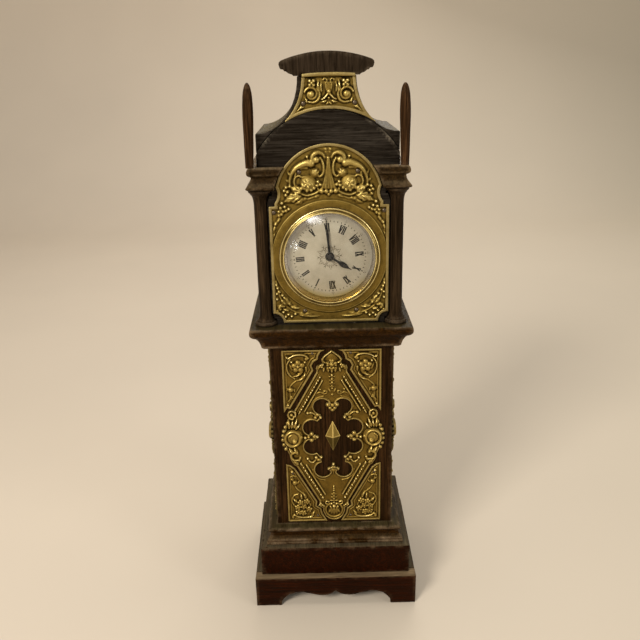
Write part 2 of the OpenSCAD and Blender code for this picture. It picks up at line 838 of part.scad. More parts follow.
module hour_hand() {
    l = hour_hand_l;
    body = [[0.8, 0], [0.55, l * 0.38], [1.5, l * 0.52], [1.65, l * 0.62], [1.15, l * 0.76], [0.4, l * 0.86],
        [0.15, l]];
    color(blued) hand_blank(hour_hand_y, hour_hand_turn, hour_pipe_r + running) {
        circle(r = 2.7);
        polygon(concat(body, mirrored(body)));
    }
}

// Drum case

drum_back_y = drum_y + drum_l;
cover_t = 1;

module drum_case() {
    color(brass) at([0, 0]) difference() {
        rod(drum_r, drum_y, drum_back_y - cover_t);
        rod(drum_r - drum_wall, drum_y - 1, drum_back_y);
    }
}

module drum_brackets() {
    y = hood_y + hood_board;
    reach = 7;
    color(brass) for (a = [90, 210, 330]) at([0, 0]) rotate([0, a - 90, 0]) translate([0, 0, drum_r + seat]) {
        box([-3.5, y, 0], [3.5, y + 0.8, reach]);
        box([-3.5, y, 0], [3.5, y + 8, 0.8]);
        translate([0, 0, reach - 2.8]) {
            rod(1.3, y + 0.8, y + 1.5);
            rod(0.6, y - 3, y + 0.9);
        }
    }
}

// Movement: plates

front_plate_y = drum_y + 3.4;
inside_y = front_plate_y + plate_t;
back_plate_y = inside_y + pillar_l;
behind_y = back_plate_y + plate_t;
plate_r = drum_r - drum_wall - 0.2;

// Toothed wheels and pinions: [teeth, module]
great = [64, 0.32];
centre_pinion = [8, 0.32];
centre_gear = [64, 0.25];
third_pinion = [8, 0.25];
third_gear = [60, 0.22];
fourth_pinion = [8, 0.22];
fourth_gear = [64, 0.20];
escape_pinion = [8, 0.20];
cannon_gear = [12, 0.25];
minute_gear = [36, 0.25];
minute_pinion = [10, 0.24];
hour_gear = [40, 0.24];
function pitch_r(g) = g[0] * g[1] / 2;
function apart(g, h) = pitch_r(g) + pitch_r(h);

// Arbors, from the dial's centre
centre_p = [0, 0];
barrel_p = centre_p + polar(apart(great, centre_pinion), -90);
third_p = centre_p + polar(apart(centre_gear, third_pinion), 150);
fourth_p = third_p + polar(apart(third_gear, fourth_pinion), 55);
escape_p = fourth_p + polar(apart(fourth_gear, escape_pinion), 9.5);
balance_p = [13.5, 4];
pallet_p = [8.6, 8.9];
minute_p = centre_p + polar(apart(cannon_gear, minute_gear), 0);
arbor_r = 0.6;
pivot_r = 0.4;
pillar_angles = [35, 125, 205, 305];
pillar_at = plate_r - 3.2;

// Angle that puts a tooth of the second wheel in a gap of the first, seen along the line of centres
function in_mesh(first, phase, second, direction) =
    direction + 180 - 360 / second[0] * (0.5 - (direction - phase) * first[0] / 360);
function tooth(g, share, phase, i) = let (a = phase + i * 360 / g[0], w = share * 180 / g[0],
    low = pitch_r(g) - 1.25 * g[1], high = pitch_r(g) + 0.8 * g[1])
    [polar(low, a - 1.25 * w), polar(high, a - 0.5 * w), polar(high, a + 0.5 * w), polar(low, a + 1.25 * w)];

module teeth(g, share, phase) {
    polygon([for (i = [0:g[0] - 1]) each tooth(g, share, phase, i)]);
}

wheel_share = 0.44; // tooth width as a share of the pitch
pinion_share = 0.34;

// A wheel with four spokes; y is its front face
module wheel(g, y, t, bore, phase) {
    rim = pitch_r(g) - 2.6 * g[1] - 0.5;
    hub = bore + 1.1;
    difference() {
        upright(y, t) difference() {
            teeth(g, wheel_share, phase);
            circle(r = bore);
        }
        for (a = [0:90:270]) rotate([0, a, 0]) upright(y - 1, t + 2)
            polygon(concat(arc([0, 0], rim, 10, 80, 7), arc([0, 0], hub, 62, 28, 3)));
    }
}

module pinion(g, y0, y1, bore, phase) {
    upright(y0, y1 - y0) difference() {
        teeth(g, pinion_share, phase);
        if (bore > 0) circle(r = bore);
    }
}

module arbor(y0, y1) {
    rod(arbor_r, inside_y + 0.15, back_plate_y - 0.15);
    rod(pivot_r, y0, y1);
}

// Phases that put the whole train in mesh at rest
third_turn = in_mesh(centre_gear, 0, third_pinion, 150);
fourth_turn = in_mesh(third_gear, 0, fourth_pinion, 55);
escape_turn = in_mesh(fourth_gear, 0, escape_pinion, 9.5);
barrel_turn = in_mesh(centre_pinion, 0, great, -90);
minute_turn = in_mesh(cannon_gear, 0, minute_gear, 0);
hour_turn = in_mesh(minute_pinion, 0, hour_gear, 180);

pivots = [third_p, fourth_p, escape_p, balance_p, pallet_p];

module front_plate() {
    color(brass) {
        difference() {
            at([0, 0]) rod(plate_r, front_plate_y, inside_y);
            at(centre_p) rod(centre_r + running, front_plate_y - 1, inside_y + 1);
            at(barrel_p) rod(1.2 + running, front_plate_y - 1, inside_y + 1);
            for (p = pivots) at(p) rod(pivot_r + running, front_plate_y - 1, inside_y + 1);
        }
        for (a = pillar_angles) at(polar(pillar_at, a)) rod(1.5, inside_y, back_plate_y);
        at(minute_p) rod(0.6, front_plate_y - 2.1, front_plate_y);
    }
}

click_p = barrel_p + [6.4, -2.6];

module back_plate() {
    color(brass) {
        difference() {
            at([0, 0]) rod(plate_r, back_plate_y, behind_y);
            at(centre_p) rod(centre_r + running, back_plate_y - 1, behind_y + 1);
            at(barrel_p) rod(1.5 + running, back_plate_y - 1, behind_y + 1);
            for (p = pivots) at(p) rod(pivot_r + running, back_plate_y - 1, behind_y + 1);
        }
        for (a = pillar_angles) at(polar(pillar_at, a)) rod(1.4, behind_y, behind_y + 0.6);
        at(click_p) rod(0.6, behind_y, behind_y + 1.3);
    }
}

key_hole_r = 2.2;
tail_r = 7;
tail_swing = 20;

module drum_cover() {
    y = drum_back_y - cover_t;
    slot = 1.6;
    color(brass) difference() {
        at([0, 0]) rod(drum_r, y, drum_back_y);
        at(barrel_p) rod(key_hole_r, y - 1, drum_back_y + 1);
        at(centre_p) rod(centre_r + 0.4, y - 1, drum_back_y + 1);
        at(balance_p) translate([0, drum_back_y + 1, 0]) rotate([90, 0, 0])
            rotate([0, 0, 90 - tail_swing - 8]) rotate_extrude(angle = 2 * (tail_swing + 8))
                translate([tail_r - slot / 2, 0]) square([slot, cover_t + 2]);
    }
}

// Movement: power

great_y = inside_y + 9.3;
great_t = 0.8;
barrel_front = inside_y + 0.8;
barrel_wall = 0.5;

module barrel() {
    color(brass) at(barrel_p) difference() {
        union() {
            rod(barrel_r, barrel_front + barrel_wall, great_y);
            upright(great_y, great_t) teeth(great, wheel_share, barrel_turn);
        }
        rod(barrel_r - barrel_wall, barrel_front - 1, great_y);
        rod(1.5 + running, great_y - 1, great_y + great_t + 1);
    }
}

module barrel_cover() {
    color(brass) at(barrel_p) difference() {
        rod(barrel_r, barrel_front, barrel_front + barrel_wall);
        rod(1.2 + running, barrel_front - 1, barrel_front + 1);
    }
}

// A flat spiral band: turns, inner and outer radius, and thickness
module spiral(turns, r0, r1, t) {
    steps = turns * 20;
    function r(i) = r0 + (r1 - r0) * i / steps;
    polygon(concat([for (i = [0:steps]) polar(r(i) - t / 2, i * 18)],
        [for (i = [steps:-1:0]) polar(r(i) + t / 2, i * 18)]));
}

module mainspring() {
    color(steel) at(barrel_p) upright(barrel_front + barrel_wall + 0.4, great_y - barrel_front - barrel_wall - 0.8)
        spiral(7, 2.4, barrel_r - barrel_wall - 0.15, 0.3);
}

ratchet_y = behind_y + 0.2;
ratchet_r = 4.2;
ratchet_teeth = 24;

module ratchet() {
    step = 360 / ratchet_teeth;
    polygon([for (i = [0:ratchet_teeth - 1]) each [polar(ratchet_r, i * step), polar(ratchet_r - 0.6, i * step + 1.5),
        polar(ratchet_r - 0.45, i * step + step * 0.6)]]);
}

module barrel_arbor() {
    color(steel) at(barrel_p) {
        rod(1.2, front_plate_y + 0.2, great_y + 0.5);
        rod(2, barrel_front + barrel_wall + 0.3, great_y - 0.3);
        rod(1.5, great_y - 0.4, drum_back_y + 0.4);
        upright(ratchet_y, 0.8) ratchet();
        rod(1.3, drum_back_y, drum_back_y + 6);
    }
}

// The click's nose stands just off the ratchet's tips
module click() {
    nose = barrel_p + polar(ratchet_r, 8);
    color(steel) difference() {
        union() {
            at(click_p) rod(1.3, ratchet_y, ratchet_y + 0.8);
            at([0, 0]) upright(ratchet_y, 0.8)
                polygon([click_p + [-0.6, -0.9], click_p + [1.1, 0.5], nose + [1.6, 0.9], nose + [0.15, 0.35],
                    nose + [0.25, -0.35]]);
        }
        at(click_p) rod(0.6 + running, ratchet_y - 1, ratchet_y + 2);
    }
}

key_y = drum_back_y + 0.8;

module winding_key() {
    wing = key_w / 2;
    color(brass) at(barrel_p) difference() {
        union() {
            rod(2.3, key_y, key_y + 8);
            translate([0, 0, 0]) sideways(-0.7, 1.4) polygon([[key_y + 6, -2.2], [key_y + 6.4, -wing + 1.5],
                [key_y + 8, -wing], [key_y + 12.6, -wing], [key_y + 14, -wing + 1.8], [key_y + 13.4, -2.4],
                [key_y + 12.4, 0], [key_y + 13.4, 2.4], [key_y + 14, wing - 1.8], [key_y + 12.6, wing],
                [key_y + 8, wing], [key_y + 6.4, wing - 1.5], [key_y + 6, 2.2]]);
        }
        rod(1.3 + running, key_y - 1, key_y + 5.5);
    }
}

// Movement: going train

module centre_wheel() {
    y = great_y + 2.2;
    color(brass) at(centre_p) {
        wheel(centre_gear, y, 0.7, centre_r - 0.1, 0);
        pinion(centre_pinion, great_y - 0.7, great_y + 1.5, 0, 0);
        rod(centre_r, hour_hand_y - 1.8, drum_back_y + 1);
        rod(1.4, great_y + 1.5, y + 1.2);
        difference() {
            rod(cannon_pipe_r, minute_hand_y - 0.1, front_plate_y - 0.2);
            rod(centre_r - 0.1, minute_hand_y - 1, front_plate_y);
        }
        pinion(cannon_gear, front_plate_y - 1.1, front_plate_y - 0.3, centre_r - 0.1, 0);
    }
}

module set_knob() {
    y = drum_back_y + 0.8;
    color(brass) at(centre_p) difference() {
        union() {
            upright(y, 3.4) polygon([for (i = [0:47]) polar(set_knob_r - (i % 2) * 0.25, i * 7.5)]);
            rod(1.6, y - 0.4, y + 3.4);
        }
        rod(centre_r + running, y - 1, y + 0.3);
    }
}

module third_wheel() {
    color(brass) at(third_p) {
        wheel(third_gear, inside_y + 4.5, 0.6, arbor_r - 0.1, 0);
        pinion(third_pinion, great_y + 1.7, great_y + 3.4, 0, third_turn);
        arbor(front_plate_y + 0.3, behind_y - 0.3);
    }
}

module fourth_wheel() {
    color(brass) at(fourth_p) {
        wheel(fourth_gear, inside_y + 7.3, 0.5, arbor_r - 0.1, 0);
        pinion(fourth_pinion, inside_y + 3.9, inside_y + 5.7, 0, fourth_turn);
        arbor(front_plate_y + 0.3, behind_y - 0.3);
    }
}

escape_r = 4;
escape_y = inside_y + 5.4;
escape_t = 0.4;

module escape_wheel() {
    step = 24;
    color(brass) at(escape_p) {
        upright(escape_y, escape_t) {
            difference() {
                polygon([for (i = [0:14]) each [polar(escape_r, i * step), polar(escape_r - 1, i * step + 3),
                    polar(escape_r - 1.1, i * step + step * 0.72), polar(escape_r - 0.05, i * step + step - 3)]]);
                circle(r = escape_r - 1.7);
            }
            for (a = [0, 60, 120]) rotate(a) square([2 * escape_r - 2.6, 0.6], center = true);
            circle(r = 1.2);
        }
        pinion(escape_pinion, inside_y + 6.6, inside_y + 8.5, 0, escape_turn);
        arbor(front_plate_y + 0.3, behind_y - 0.3);
    }
}

// The pallets stand just clear of the escape wheel's tips; the fork ends short of the roller
pallet_swing = 4;

module pallet_lever() {
    gap = escape_r + 0.35;
    to_escape = escape_p - pallet_p;
    aim = atan2(to_escape[1], to_escape[0]);
    to_balance = balance_p - pallet_p;
    lever_l = norm(to_balance) - 1.9;
    lever_aim = atan2(to_balance[1], to_balance[0]);
    color(steel) at(pallet_p) {
        upright(escape_y, escape_t) {
            for (side = [-1, 1]) polygon([[0, side * 0.5], polar(3.2, aim + side * 78),
                to_escape + polar(gap + 0.6, aim + 180 - side * 46), to_escape + polar(gap, aim + 180 - side * 50),
                to_escape + polar(gap, aim + 180 - side * 42), polar(1.6, aim + side * 60)]);
            circle(r = 1.1);
            rotate(lever_aim) translate([0, -0.3]) square([lever_l - 0.9, 0.6]);
            for (side = [-1, 1]) rotate(lever_aim + side * 7) translate([lever_l - 1.8, -0.22]) square([1.8, 0.44]);
        }
        arbor(front_plate_y + 0.3, behind_y - 0.3);
    }
}

module balance_wheel() {
    y = inside_y + 7;
    color(brass) at(balance_p) {
        difference() {
            rod(balance_r, y, y + 1.2);
            rod(balance_r - 0.9, y - 1, y + 3);
        }
        upright(y + 0.3, 0.6) {
            for (a = [0, 60, 120]) rotate(a) square([2 * balance_r - 1, 0.8], center = true);
            circle(r = 1.2);
        }
        rod(1.2, escape_y, escape_y + 0.5);
        arbor(front_plate_y + 0.3, behind_y - 0.3);
    }
}

// The inner coil ends just off the staff; the outer end is held by a stud on the back plate
module hairspring() {
    y = inside_y + 9.2;
    outer = 3.9;
    color(steel) at(balance_p) {
        upright(y, 0.4) spiral(6, arbor_r + 0.35, outer, 0.12);
        translate([outer, 0, 0]) rod(0.5, y, back_plate_y);
    }
}

module regulator() {
    color(steel) at(balance_p) {
        difference() {
            rod(2.2, behind_y + 0.15, behind_y + 0.65);
            rod(0.9, behind_y - 1, behind_y + 2);
        }
        box([-0.6, behind_y + 0.15, 1.6], [0.6, behind_y + 0.65, tail_r + 0.6]);
        translate([0, 0, tail_r]) rod(0.5, behind_y + 0.3, drum_back_y + 0.7);
    }
}

// Motion work, in front of the front plate

module minute_wheel() {
    color(brass) at(minute_p) {
        wheel(minute_gear, front_plate_y - 1, 0.6, 0.6 + running, minute_turn);
        pinion(minute_pinion, front_plate_y - 2.3, front_plate_y - 0.95, 0.6 + running, 0);
    }
}

module hour_wheel() {
    bore = cannon_pipe_r + running;
    color(brass) at(centre_p) {
        difference() {
            union() {
                wheel(hour_gear, front_plate_y - 2.2, 0.6, bore, hour_turn);
                rod(hour_pipe_r, hour_hand_y - 0.1, front_plate_y - 1.6);
            }
            rod(bore, hour_hand_y - 1, front_plate_y);
        }
    }
}

skirt_front();
skirt_left();
skirt_right();
bottom_board();
plinth_block();
foot_moulding();
trunk_front();
trunk_left();
trunk_right();
backboard();
hood_base();
hood_front();
hood_left();
hood_right();
cornice_left();
cornice_right();
columns();
finials();
pagoda_board();
roof_back();
roof_left();
roof_right();
roof_cap();
back_door();
hinge_leaves();
door_leaves();
door_knob();
crest_mount();
dial_mask();
corner_mounts();
lozenge_mounts();
diamond_bosses();
mount_pins();
bezel();
glass();
dial();
minute_hand();
hour_hand();
drum_case();
drum_cover();
drum_brackets();
front_plate();
back_plate();
barrel();
barrel_cover();
mainspring();
barrel_arbor();
click();
winding_key();
centre_wheel();
third_wheel();
fourth_wheel();
escape_wheel();
pallet_lever();
balance_wheel();
hairspring();
regulator();
minute_wheel();
hour_wheel();
set_knob();
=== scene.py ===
"""Looks of the miniature longcase clock, in metres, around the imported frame.

Lengths in this file are in millimetres until a mesh is made.
"""

import json
import math

import bmesh
import bpy
import numpy as np
from mathutils import Matrix, Vector


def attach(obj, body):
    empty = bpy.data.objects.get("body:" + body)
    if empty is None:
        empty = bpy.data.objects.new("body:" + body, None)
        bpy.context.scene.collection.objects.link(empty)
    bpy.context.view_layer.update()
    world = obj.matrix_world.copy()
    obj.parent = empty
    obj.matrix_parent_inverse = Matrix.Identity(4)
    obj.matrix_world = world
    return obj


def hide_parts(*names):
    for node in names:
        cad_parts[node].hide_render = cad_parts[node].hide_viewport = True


MM = 0.001
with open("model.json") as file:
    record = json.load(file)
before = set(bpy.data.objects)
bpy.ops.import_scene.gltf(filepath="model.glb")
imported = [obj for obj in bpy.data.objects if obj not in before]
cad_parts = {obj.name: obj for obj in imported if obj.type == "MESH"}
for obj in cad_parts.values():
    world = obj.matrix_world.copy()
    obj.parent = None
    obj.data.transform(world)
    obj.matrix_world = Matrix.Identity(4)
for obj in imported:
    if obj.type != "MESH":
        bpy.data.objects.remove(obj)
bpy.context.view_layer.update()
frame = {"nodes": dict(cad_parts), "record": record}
nodes = frame["nodes"]
body_of = {n: b for b, members in frame["record"]["behaviour"]["bodies"].items() for n in members}

# Sizes that the dressing shares with the CAD model
MASK_Y = -30.7
CREST_Y = -29.5
TRUNK_Y = -29.1
TRUNK_HALF = 38.1
SIDE_Y = 7.95
LOZENGE_Z = 119.15
DIAL_Z = 240
DIAL_Y = -29.1
FIELD_HALF = 30.8
FIELD_TOP = 62.15
SHEET = 0.6

# Camera, fitted to the photo
PITCH, ROLL, YAW = (math.radians(a) for a in (19.93, -1.32, 0.098))
EYE = Vector((-7.265, -429.04, 345.59)) * MM
LENS, SENSOR = 39.5, 36


def link(name, data):
    obj = bpy.data.objects.new(name, data)
    bpy.context.scene.collection.objects.link(obj)
    return obj


def make_camera():
    forward = Vector((math.sin(YAW) * math.cos(PITCH), math.cos(YAW) * math.cos(PITCH), -math.sin(PITCH)))
    right = Vector((math.cos(YAW), -math.sin(YAW), 0))
    up = right.cross(forward)
    x_axis = math.cos(ROLL) * right + math.sin(ROLL) * up
    y_axis = math.cos(ROLL) * up - math.sin(ROLL) * right
    data = bpy.data.cameras.new("camera")
    data.lens, data.sensor_width = LENS, SENSOR
    data.clip_start, data.clip_end = 0.01, 20
    camera = link("camera", data)
    turn = Matrix((x_axis, y_axis, -forward)).transposed()
    camera.matrix_world = Matrix.Translation(EYE) @ turn.to_4x4()
    bpy.context.scene.camera = camera


make_camera()


# Shader helpers

class Nodes:
    """A node tree and short names for the nodes that it needs."""

    def __init__(self, tree):
        self.tree = tree

    def put(self, socket, value):
        if isinstance(value, bpy.types.NodeSocket):
            self.tree.links.new(value, socket)
        else:
            socket.default_value = (*value, 1) if socket.type == "RGBA" and len(value) == 3 else value

    def new(self, kind, inputs=(), **settings):
        node = self.tree.nodes.new("ShaderNode" + kind)
        for key, value in settings.items():
            setattr(node, key, value)
        for key, value in dict(inputs).items():
            self.put(node.inputs[key], value)
        return node

    def math(self, kind, a, b=0, clamp=False):
        return self.new("Math", {0: a, 1: b}, operation=kind, use_clamp=clamp).outputs[0]

    def mul(self, a, b):
        return self.math("MULTIPLY", a, b, True)

    def add(self, a, b, clamp=True):
        return self.math("ADD", a, b, clamp)


class Shader(Nodes):
    """A material with one principled shader."""

    def __init__(self, name, **settings):
        self.mat = bpy.data.materials.new(name)
        self.mat.use_nodes = True
        super().__init__(self.mat.node_tree)
        self.bsdf = self.tree.nodes["Principled BSDF"]
        self.place = self.new("TexCoord")
        self.set(**settings)

    def set(self, **values):
        for key, value in values.items():
            self.put(self.bsdf.inputs[key.replace("_", " ")], value)
        return self.mat

    def coords(self, scale=(1, 1, 1), kind="Object"):
        """Coordinates in millimetres, multiplied by scale."""
        unit = 1000 if kind == "Object" else 1
        return self.new("Mapping", {"Vector": self.place.outputs[kind],
                                    "Scale": tuple(unit * s for s in scale)}).outputs["Vector"]

    def axis(self, name, kind="Object"):
        return self.new("SeparateXYZ", {"Vector": self.coords(kind=kind)}).outputs[name]

    def noise(self, scale, detail=3, rough=0.5, distortion=0, vector=None):
        return self.new("TexNoise", {"Vector": vector or self.coords(), "Scale": scale, "Detail": detail,
                                     "Roughness": rough, "Distortion": distortion}).outputs["Fac"]

    def ramp(self, fac, *stops):
        node = self.new("ValToRGB", {"Fac": fac})
        elements = node.color_ramp.elements
        while len(elements) < len(stops):
            elements.new(0.5)
        for element, (place, colour) in zip(elements, stops):
            element.position = place
            element.color = (*colour, 1)
        return node.outputs["Color"]

    def mix(self, fac, a, b, kind="RGBA", **settings):
        node = self.new("Mix", {0: fac}, data_type=kind, **settings)
        for socket, value in zip([i for i in node.inputs if i.type == kind][-2:], (a, b)):
            self.put(socket, value)
        return next(o for o in node.outputs if o.type == kind)

    def fit(self, value, low, high, to_low=0, to_high=1):
        return self.new("MapRange", {"Value": value, "From Min": low, "From Max": high, "To Min": to_low,
                                     "To Max": to_high}).outputs["Result"]

    def attribute(self, name):
        return self.new("Attribute", attribute_name=name).outputs["Fac"]

    def bump(self, height, strength, distance):
        return self.new("Bump", {"Height": height, "Strength": strength,
                                 "Distance": distance * MM}).outputs["Normal"]


def dim(colour, share):
    return tuple(c * share for c in colour)


# Materials

def grain_vector(s, grain, across, along):
    """Coordinates stretched along the grain. F is for frames: end grain in front, plain sides."""
    def stretched(axis):
        return s.coords(tuple(1 / along if a == axis else 1 / across for a in "XYZ"))
    if grain in "XYZ":
        return stretched(grain)
    side = s.math("GREATER_THAN", s.math("ABSOLUTE", s.axis("X", "Normal")), 0.6)
    return s.mix(side, stretched("Y"), (0, 0, 0), "VECTOR")


TONES = {
    # middle colour, worn arris, dusty top
    "board": ((0.0225, 0.0150, 0.0088), (0.105, 0.078, 0.050), (0.130, 0.105, 0.065)),
    "gable": ((0.0140, 0.0116, 0.0088), (0.070, 0.056, 0.038), (0.100, 0.084, 0.052)),
    "arch": ((0.0140, 0.0116, 0.0088), (0.290, 0.240, 0.165), (0.120, 0.098, 0.062)),
    "trunk": ((0.0180, 0.0076, 0.0022), (0.105, 0.060, 0.030), (0.100, 0.070, 0.038)),
    "plinth": ((0.0110, 0.0016, 0.0001), (0.120, 0.070, 0.034), (0.255, 0.175, 0.090)),
    "block": ((0.0110, 0.0016, 0.0001), (0.100, 0.062, 0.032), (0.088, 0.068, 0.036)),
    "moulding": ((0.0175, 0.0065, 0.0009), (0.230, 0.155, 0.085), (0.048, 0.036, 0.014)),
    "cornice": ((0.0150, 0.0080, 0.0024), (0.210, 0.140, 0.072), (0.170, 0.118, 0.060)),
    "column": ((0.0200, 0.0116, 0.0054), (0.110, 0.075, 0.044), (0.080, 0.058, 0.036)),
    "finial": ((0.036, 0.0165, 0.0064), (0.120, 0.072, 0.040), (0.090, 0.056, 0.032)),
    "olive": ((0.044, 0.035, 0.0205), (0.150, 0.118, 0.070), (0.108, 0.083, 0.032)),
}
STAINED = ("board", "gable", "arch", "trunk", "plinth", "block", "column")
# how much paler than the middle the pale streaks are
STREAKS = {"board": 1.7}
woods = {}


def wood(grain, tone):
    key = grain + tone
    if key in woods:
        return woods[key]
    middle, arris, dusty = TONES[tone]
    dark, pale = dim(middle, 0.26), dim(middle, STREAKS.get(tone, 2.6))
    s = Shader("oak_" + key, Specular_IOR_Level=0.09, Specular_Tint=(1, 0.62, 0.32))
    fine = s.noise(1, 4, 0.66, 0.15, grain_vector(s, grain, 0.85, 24))
    broad = s.noise(1, 3, 0.5, 0.4, grain_vector(s, grain, 3.4, 46))
    pore = s.fit(s.noise(1, 2, 0.4, 0, grain_vector(s, grain, 0.28, 4.6)), 0.37, 0.28)
    colour = s.ramp(s.add(s.mul(fine, 0.66), s.mul(broad, 0.34), False),
                    (0.38, dark), (0.50, middle), (0.62, pale))
    colour = s.mix(s.fit(s.noise(0.06, 2), 0.35, 0.72, 0, 0.75), colour,
                   s.ramp(fine, (0.35, dark), (0.72, dim(middle, 1.1))))
    colour = s.mix(s.mul(pore, 0.7), colour, dim(dark, 0.5))
    top = s.mul(s.fit(s.axis("Z", "Normal"), 0.45, 0.95), s.fit(broad, 0.25, 0.6, 0.45))
    colour = s.mix(top, colour, s.ramp(fine, (0.32, dim(dusty, 0.4)), (0.62, dusty)))
    rub = s.noise(0.09 if tone == "moulding" else 0.18, 4, 0.65)
    colour = s.mix(s.mul(s.attribute("wear"), s.fit(rub, 0.40, 0.68)), colour,
                   s.ramp(fine, (0.3, dim(arris, 0.45)), (0.7, arris)))
    rough = s.add(s.fit(fine, 0.3, 0.7, 0.34, 0.50), s.mul(top, 0.16), False)
    woods[key] = s.set(Base_Color=colour, Roughness=s.add(rough, s.mul(pore, 0.2)),
                       Normal=s.bump(s.math("SUBTRACT", fine, s.mul(pore, 0.8)), 0.85, 0.2))
    return woods[key]


def brass_stamped(name, ochre, gold, dirt, bright, khaki, rough=0.50, paint_facet_shade=False):
    """Stamped sheet brass: dull lacquer on the ground, rubbed gold on the relief, bright on its crests."""
    s = Shader(name, Metallic=1)
    relief, high = s.attribute("relief"), s.attribute("high")
    blotch, speck = s.noise(0.16, 4, 0.6), s.noise(1.9, 3, 0.6)
    colour = s.ramp(s.add(s.mul(blotch, 0.6), s.mul(speck, 0.4), False),
                    (0.32, dim(ochre, 0.55)), (0.5, ochre), (0.68, dim(ochre, 1.4)))
    raised = s.math("MAXIMUM", s.fit(relief, 0.54, 0.76), s.fit(high, 0.6, 1, 0, 0.65))
    rubbed = s.mul(raised, s.fit(speck, 0.3, 0.55, 0.65))
    crest = s.mul(s.mul(s.fit(relief, 0.70, 0.93), s.fit(blotch, 0.3, 0.5, 0.5)), s.fit(high, 0.3, 0.72))
    border = s.mul(s.attribute("border"), s.fit(blotch, 0.3, 0.62, 0.35, 0.95))
    sunk = s.mul(s.fit(relief, 0.48, 0.35), s.fit(blotch, 0.25, 0.6, 0.65))
    for share, paint in ((rubbed, gold), (crest, bright), (border, khaki), (sunk, dirt)):
        colour = s.mix(share, colour, paint)
    if paint_facet_shade:
        # painted shade: the colour is darkened on the faces that point down and kept on those that point up
        shade = s.ramp(s.fit(s.axis("Z", "Normal"), -0.18, 0.18), (0, (0.42,) * 3), (1, (1,) * 3))
        colour = s.mix(1, colour, shade, blend_type="MULTIPLY")
    gloss = s.math("SUBTRACT", s.fit(speck, 0.3, 0.7, rough, rough + 0.12), s.mul(rubbed, 0.18))
    return s.set(Base_Color=colour, Roughness=s.add(gloss, s.mul(sunk, 0.25)),
                 Normal=s.bump(s.add(speck, s.noise(0.8, 2), False), 0.3, 0.12))


# how fine the lines of the turning are along X, Y and Z, for each direction that they run in
LINES = {"Y": (1 / 6, 1 / 0.08, 1 / 6), "Z": (1 / 0.12, 1 / 0.2, 1 / 9)}


def brass_turned(name, colour, rough, lines="Y"):
    """Turned or brushed brass with fine lines, fingermarks and tarnish."""
    s = Shader(name, Metallic=1)
    line, blotch = s.noise(1, vector=s.coords(LINES[lines])), s.noise(0.12, 4, 0.6)
    tint = s.ramp(blotch, (0.3, dim(colour, 0.62)), (0.52, colour), (0.72, dim(colour, 1.15)))
    return s.set(Base_Color=s.mix(s.fit(line, 0.3, 0.7, 0, 0.35), tint, dim(colour, 0.6)),
                 Roughness=s.add(s.fit(line, 0.3, 0.7, rough - 0.05, rough + 0.08),
                                 s.fit(blotch, 0.4, 0.7, 0, 0.12)),
                 Normal=s.bump(line, 0.18, 0.03))


def steel_material(name, colour, rough, spots):
    s = Shader(name, Metallic=1)
    line, blotch = s.noise(1, 2, vector=s.coords((1 / 0.1, 1 / 0.1, 1 / 1.2))), s.noise(0.5, 4, 0.65)
    base = s.ramp(line, (0.3, dim(colour, 0.75)), (0.7, colour))
    return s.set(Base_Color=s.mix(s.fit(blotch, 0.5, 0.7), base, spots),
                 Roughness=s.fit(blotch, 0.3, 0.75, rough, rough + 0.25), Normal=s.bump(line, 0.12, 0.03))


def dial_radius(s):
    """Distance in millimetres from the axis of the hands."""
    place = s.new("VectorMath", {0: s.coords(), 1: (0, 0, -DIAL_Z)}, operation="ADD").outputs["Vector"]
    flat = s.new("VectorMath", {0: place, 1: (1, 0, 1)}, operation="MULTIPLY").outputs["Vector"]
    return s.new("VectorMath", {0: flat}, operation="LENGTH").outputs["Value"]


def bezel_material():
    """Turned brass: its two beads are rubbed bright and the hollows beside them are tarnished."""
    s = Shader("brass_bezel", Metallic=1)
    radius = dial_radius(s)
    line, blotch = s.noise(1, vector=s.coords(LINES["Y"])), s.noise(0.12, 4, 0.6)

    def bead(middle, wide, narrow):
        return s.fit(s.math("ABSOLUTE", s.math("SUBTRACT", radius, middle)), wide, narrow)
    bright = s.mul(s.math("MAXIMUM", bead(26.95, 0.55, 0.22), bead(28.92, 0.48, 0.2)),
                   s.fit(blotch, 0.3, 0.5, 0.7))
    tarnish = s.ramp(blotch, (0.3, (0.10, 0.066, 0.016)), (0.7, (0.22, 0.16, 0.05)))
    return s.set(Base_Color=s.mix(bright, tarnish, (0.74, 0.61, 0.27)),
                 Roughness=s.add(s.fit(line, 0.3, 0.7, 0.17, 0.28), s.fit(blotch, 0.4, 0.7, 0, 0.1)),
                 Normal=s.bump(line, 0.18, 0.03))


def enamel_material():
    """Aged white dial, with painted shade that greys it towards its rim and a painted reflection of the bezel
    that yellows its lower rim.
    """
    s = Shader("dial_enamel", Specular_IOR_Level=0.45)
    radius, cloud, speck = dial_radius(s), s.noise(0.11, 4, 0.6), s.noise(2.4, 3, 0.6)
    colour = s.ramp(cloud, (0.30, (0.535, 0.450, 0.335)), (0.52, (0.645, 0.545, 0.41)),
                    (0.72, (0.71, 0.62, 0.485)))
    painted_bezel_reflection = s.mul(s.fit(radius, 21.6, 24.6), s.fit(s.axis("Z"), DIAL_Z - 10, DIAL_Z - 21, 0, 0.9))
    # painted shade greys the rim and a painted reflection of the bezel yellows the lower rim; the specks are the
    # dial's own
    for share, paint in ((s.fit(radius, 21.5, 25.8, 0, 0.42), (0.37, 0.33, 0.27)),
                         (painted_bezel_reflection, (0.62, 0.47, 0.19)),
                         (s.fit(speck, 0.62, 0.75, 0, 0.35), (0.33, 0.27, 0.20))):
        colour = s.mix(share, colour, paint)
    return s.set(Base_Color=colour, Roughness=s.fit(cloud, 0.3, 0.7, 0.30, 0.42),
                 Normal=s.bump(cloud, 0.08, 0.2))


def ink_material(name, colour):
    s = Shader(name, Specular_IOR_Level=0.2)
    fade = s.noise(1.1, 3, 0.6)
    return s.set(Base_Color=s.ramp(fade, (0.3, colour), (0.75, tuple(c * 2 + 0.006 for c in colour))),
                 Roughness=s.fit(fade, 0.3, 0.7, 0.4, 0.55))


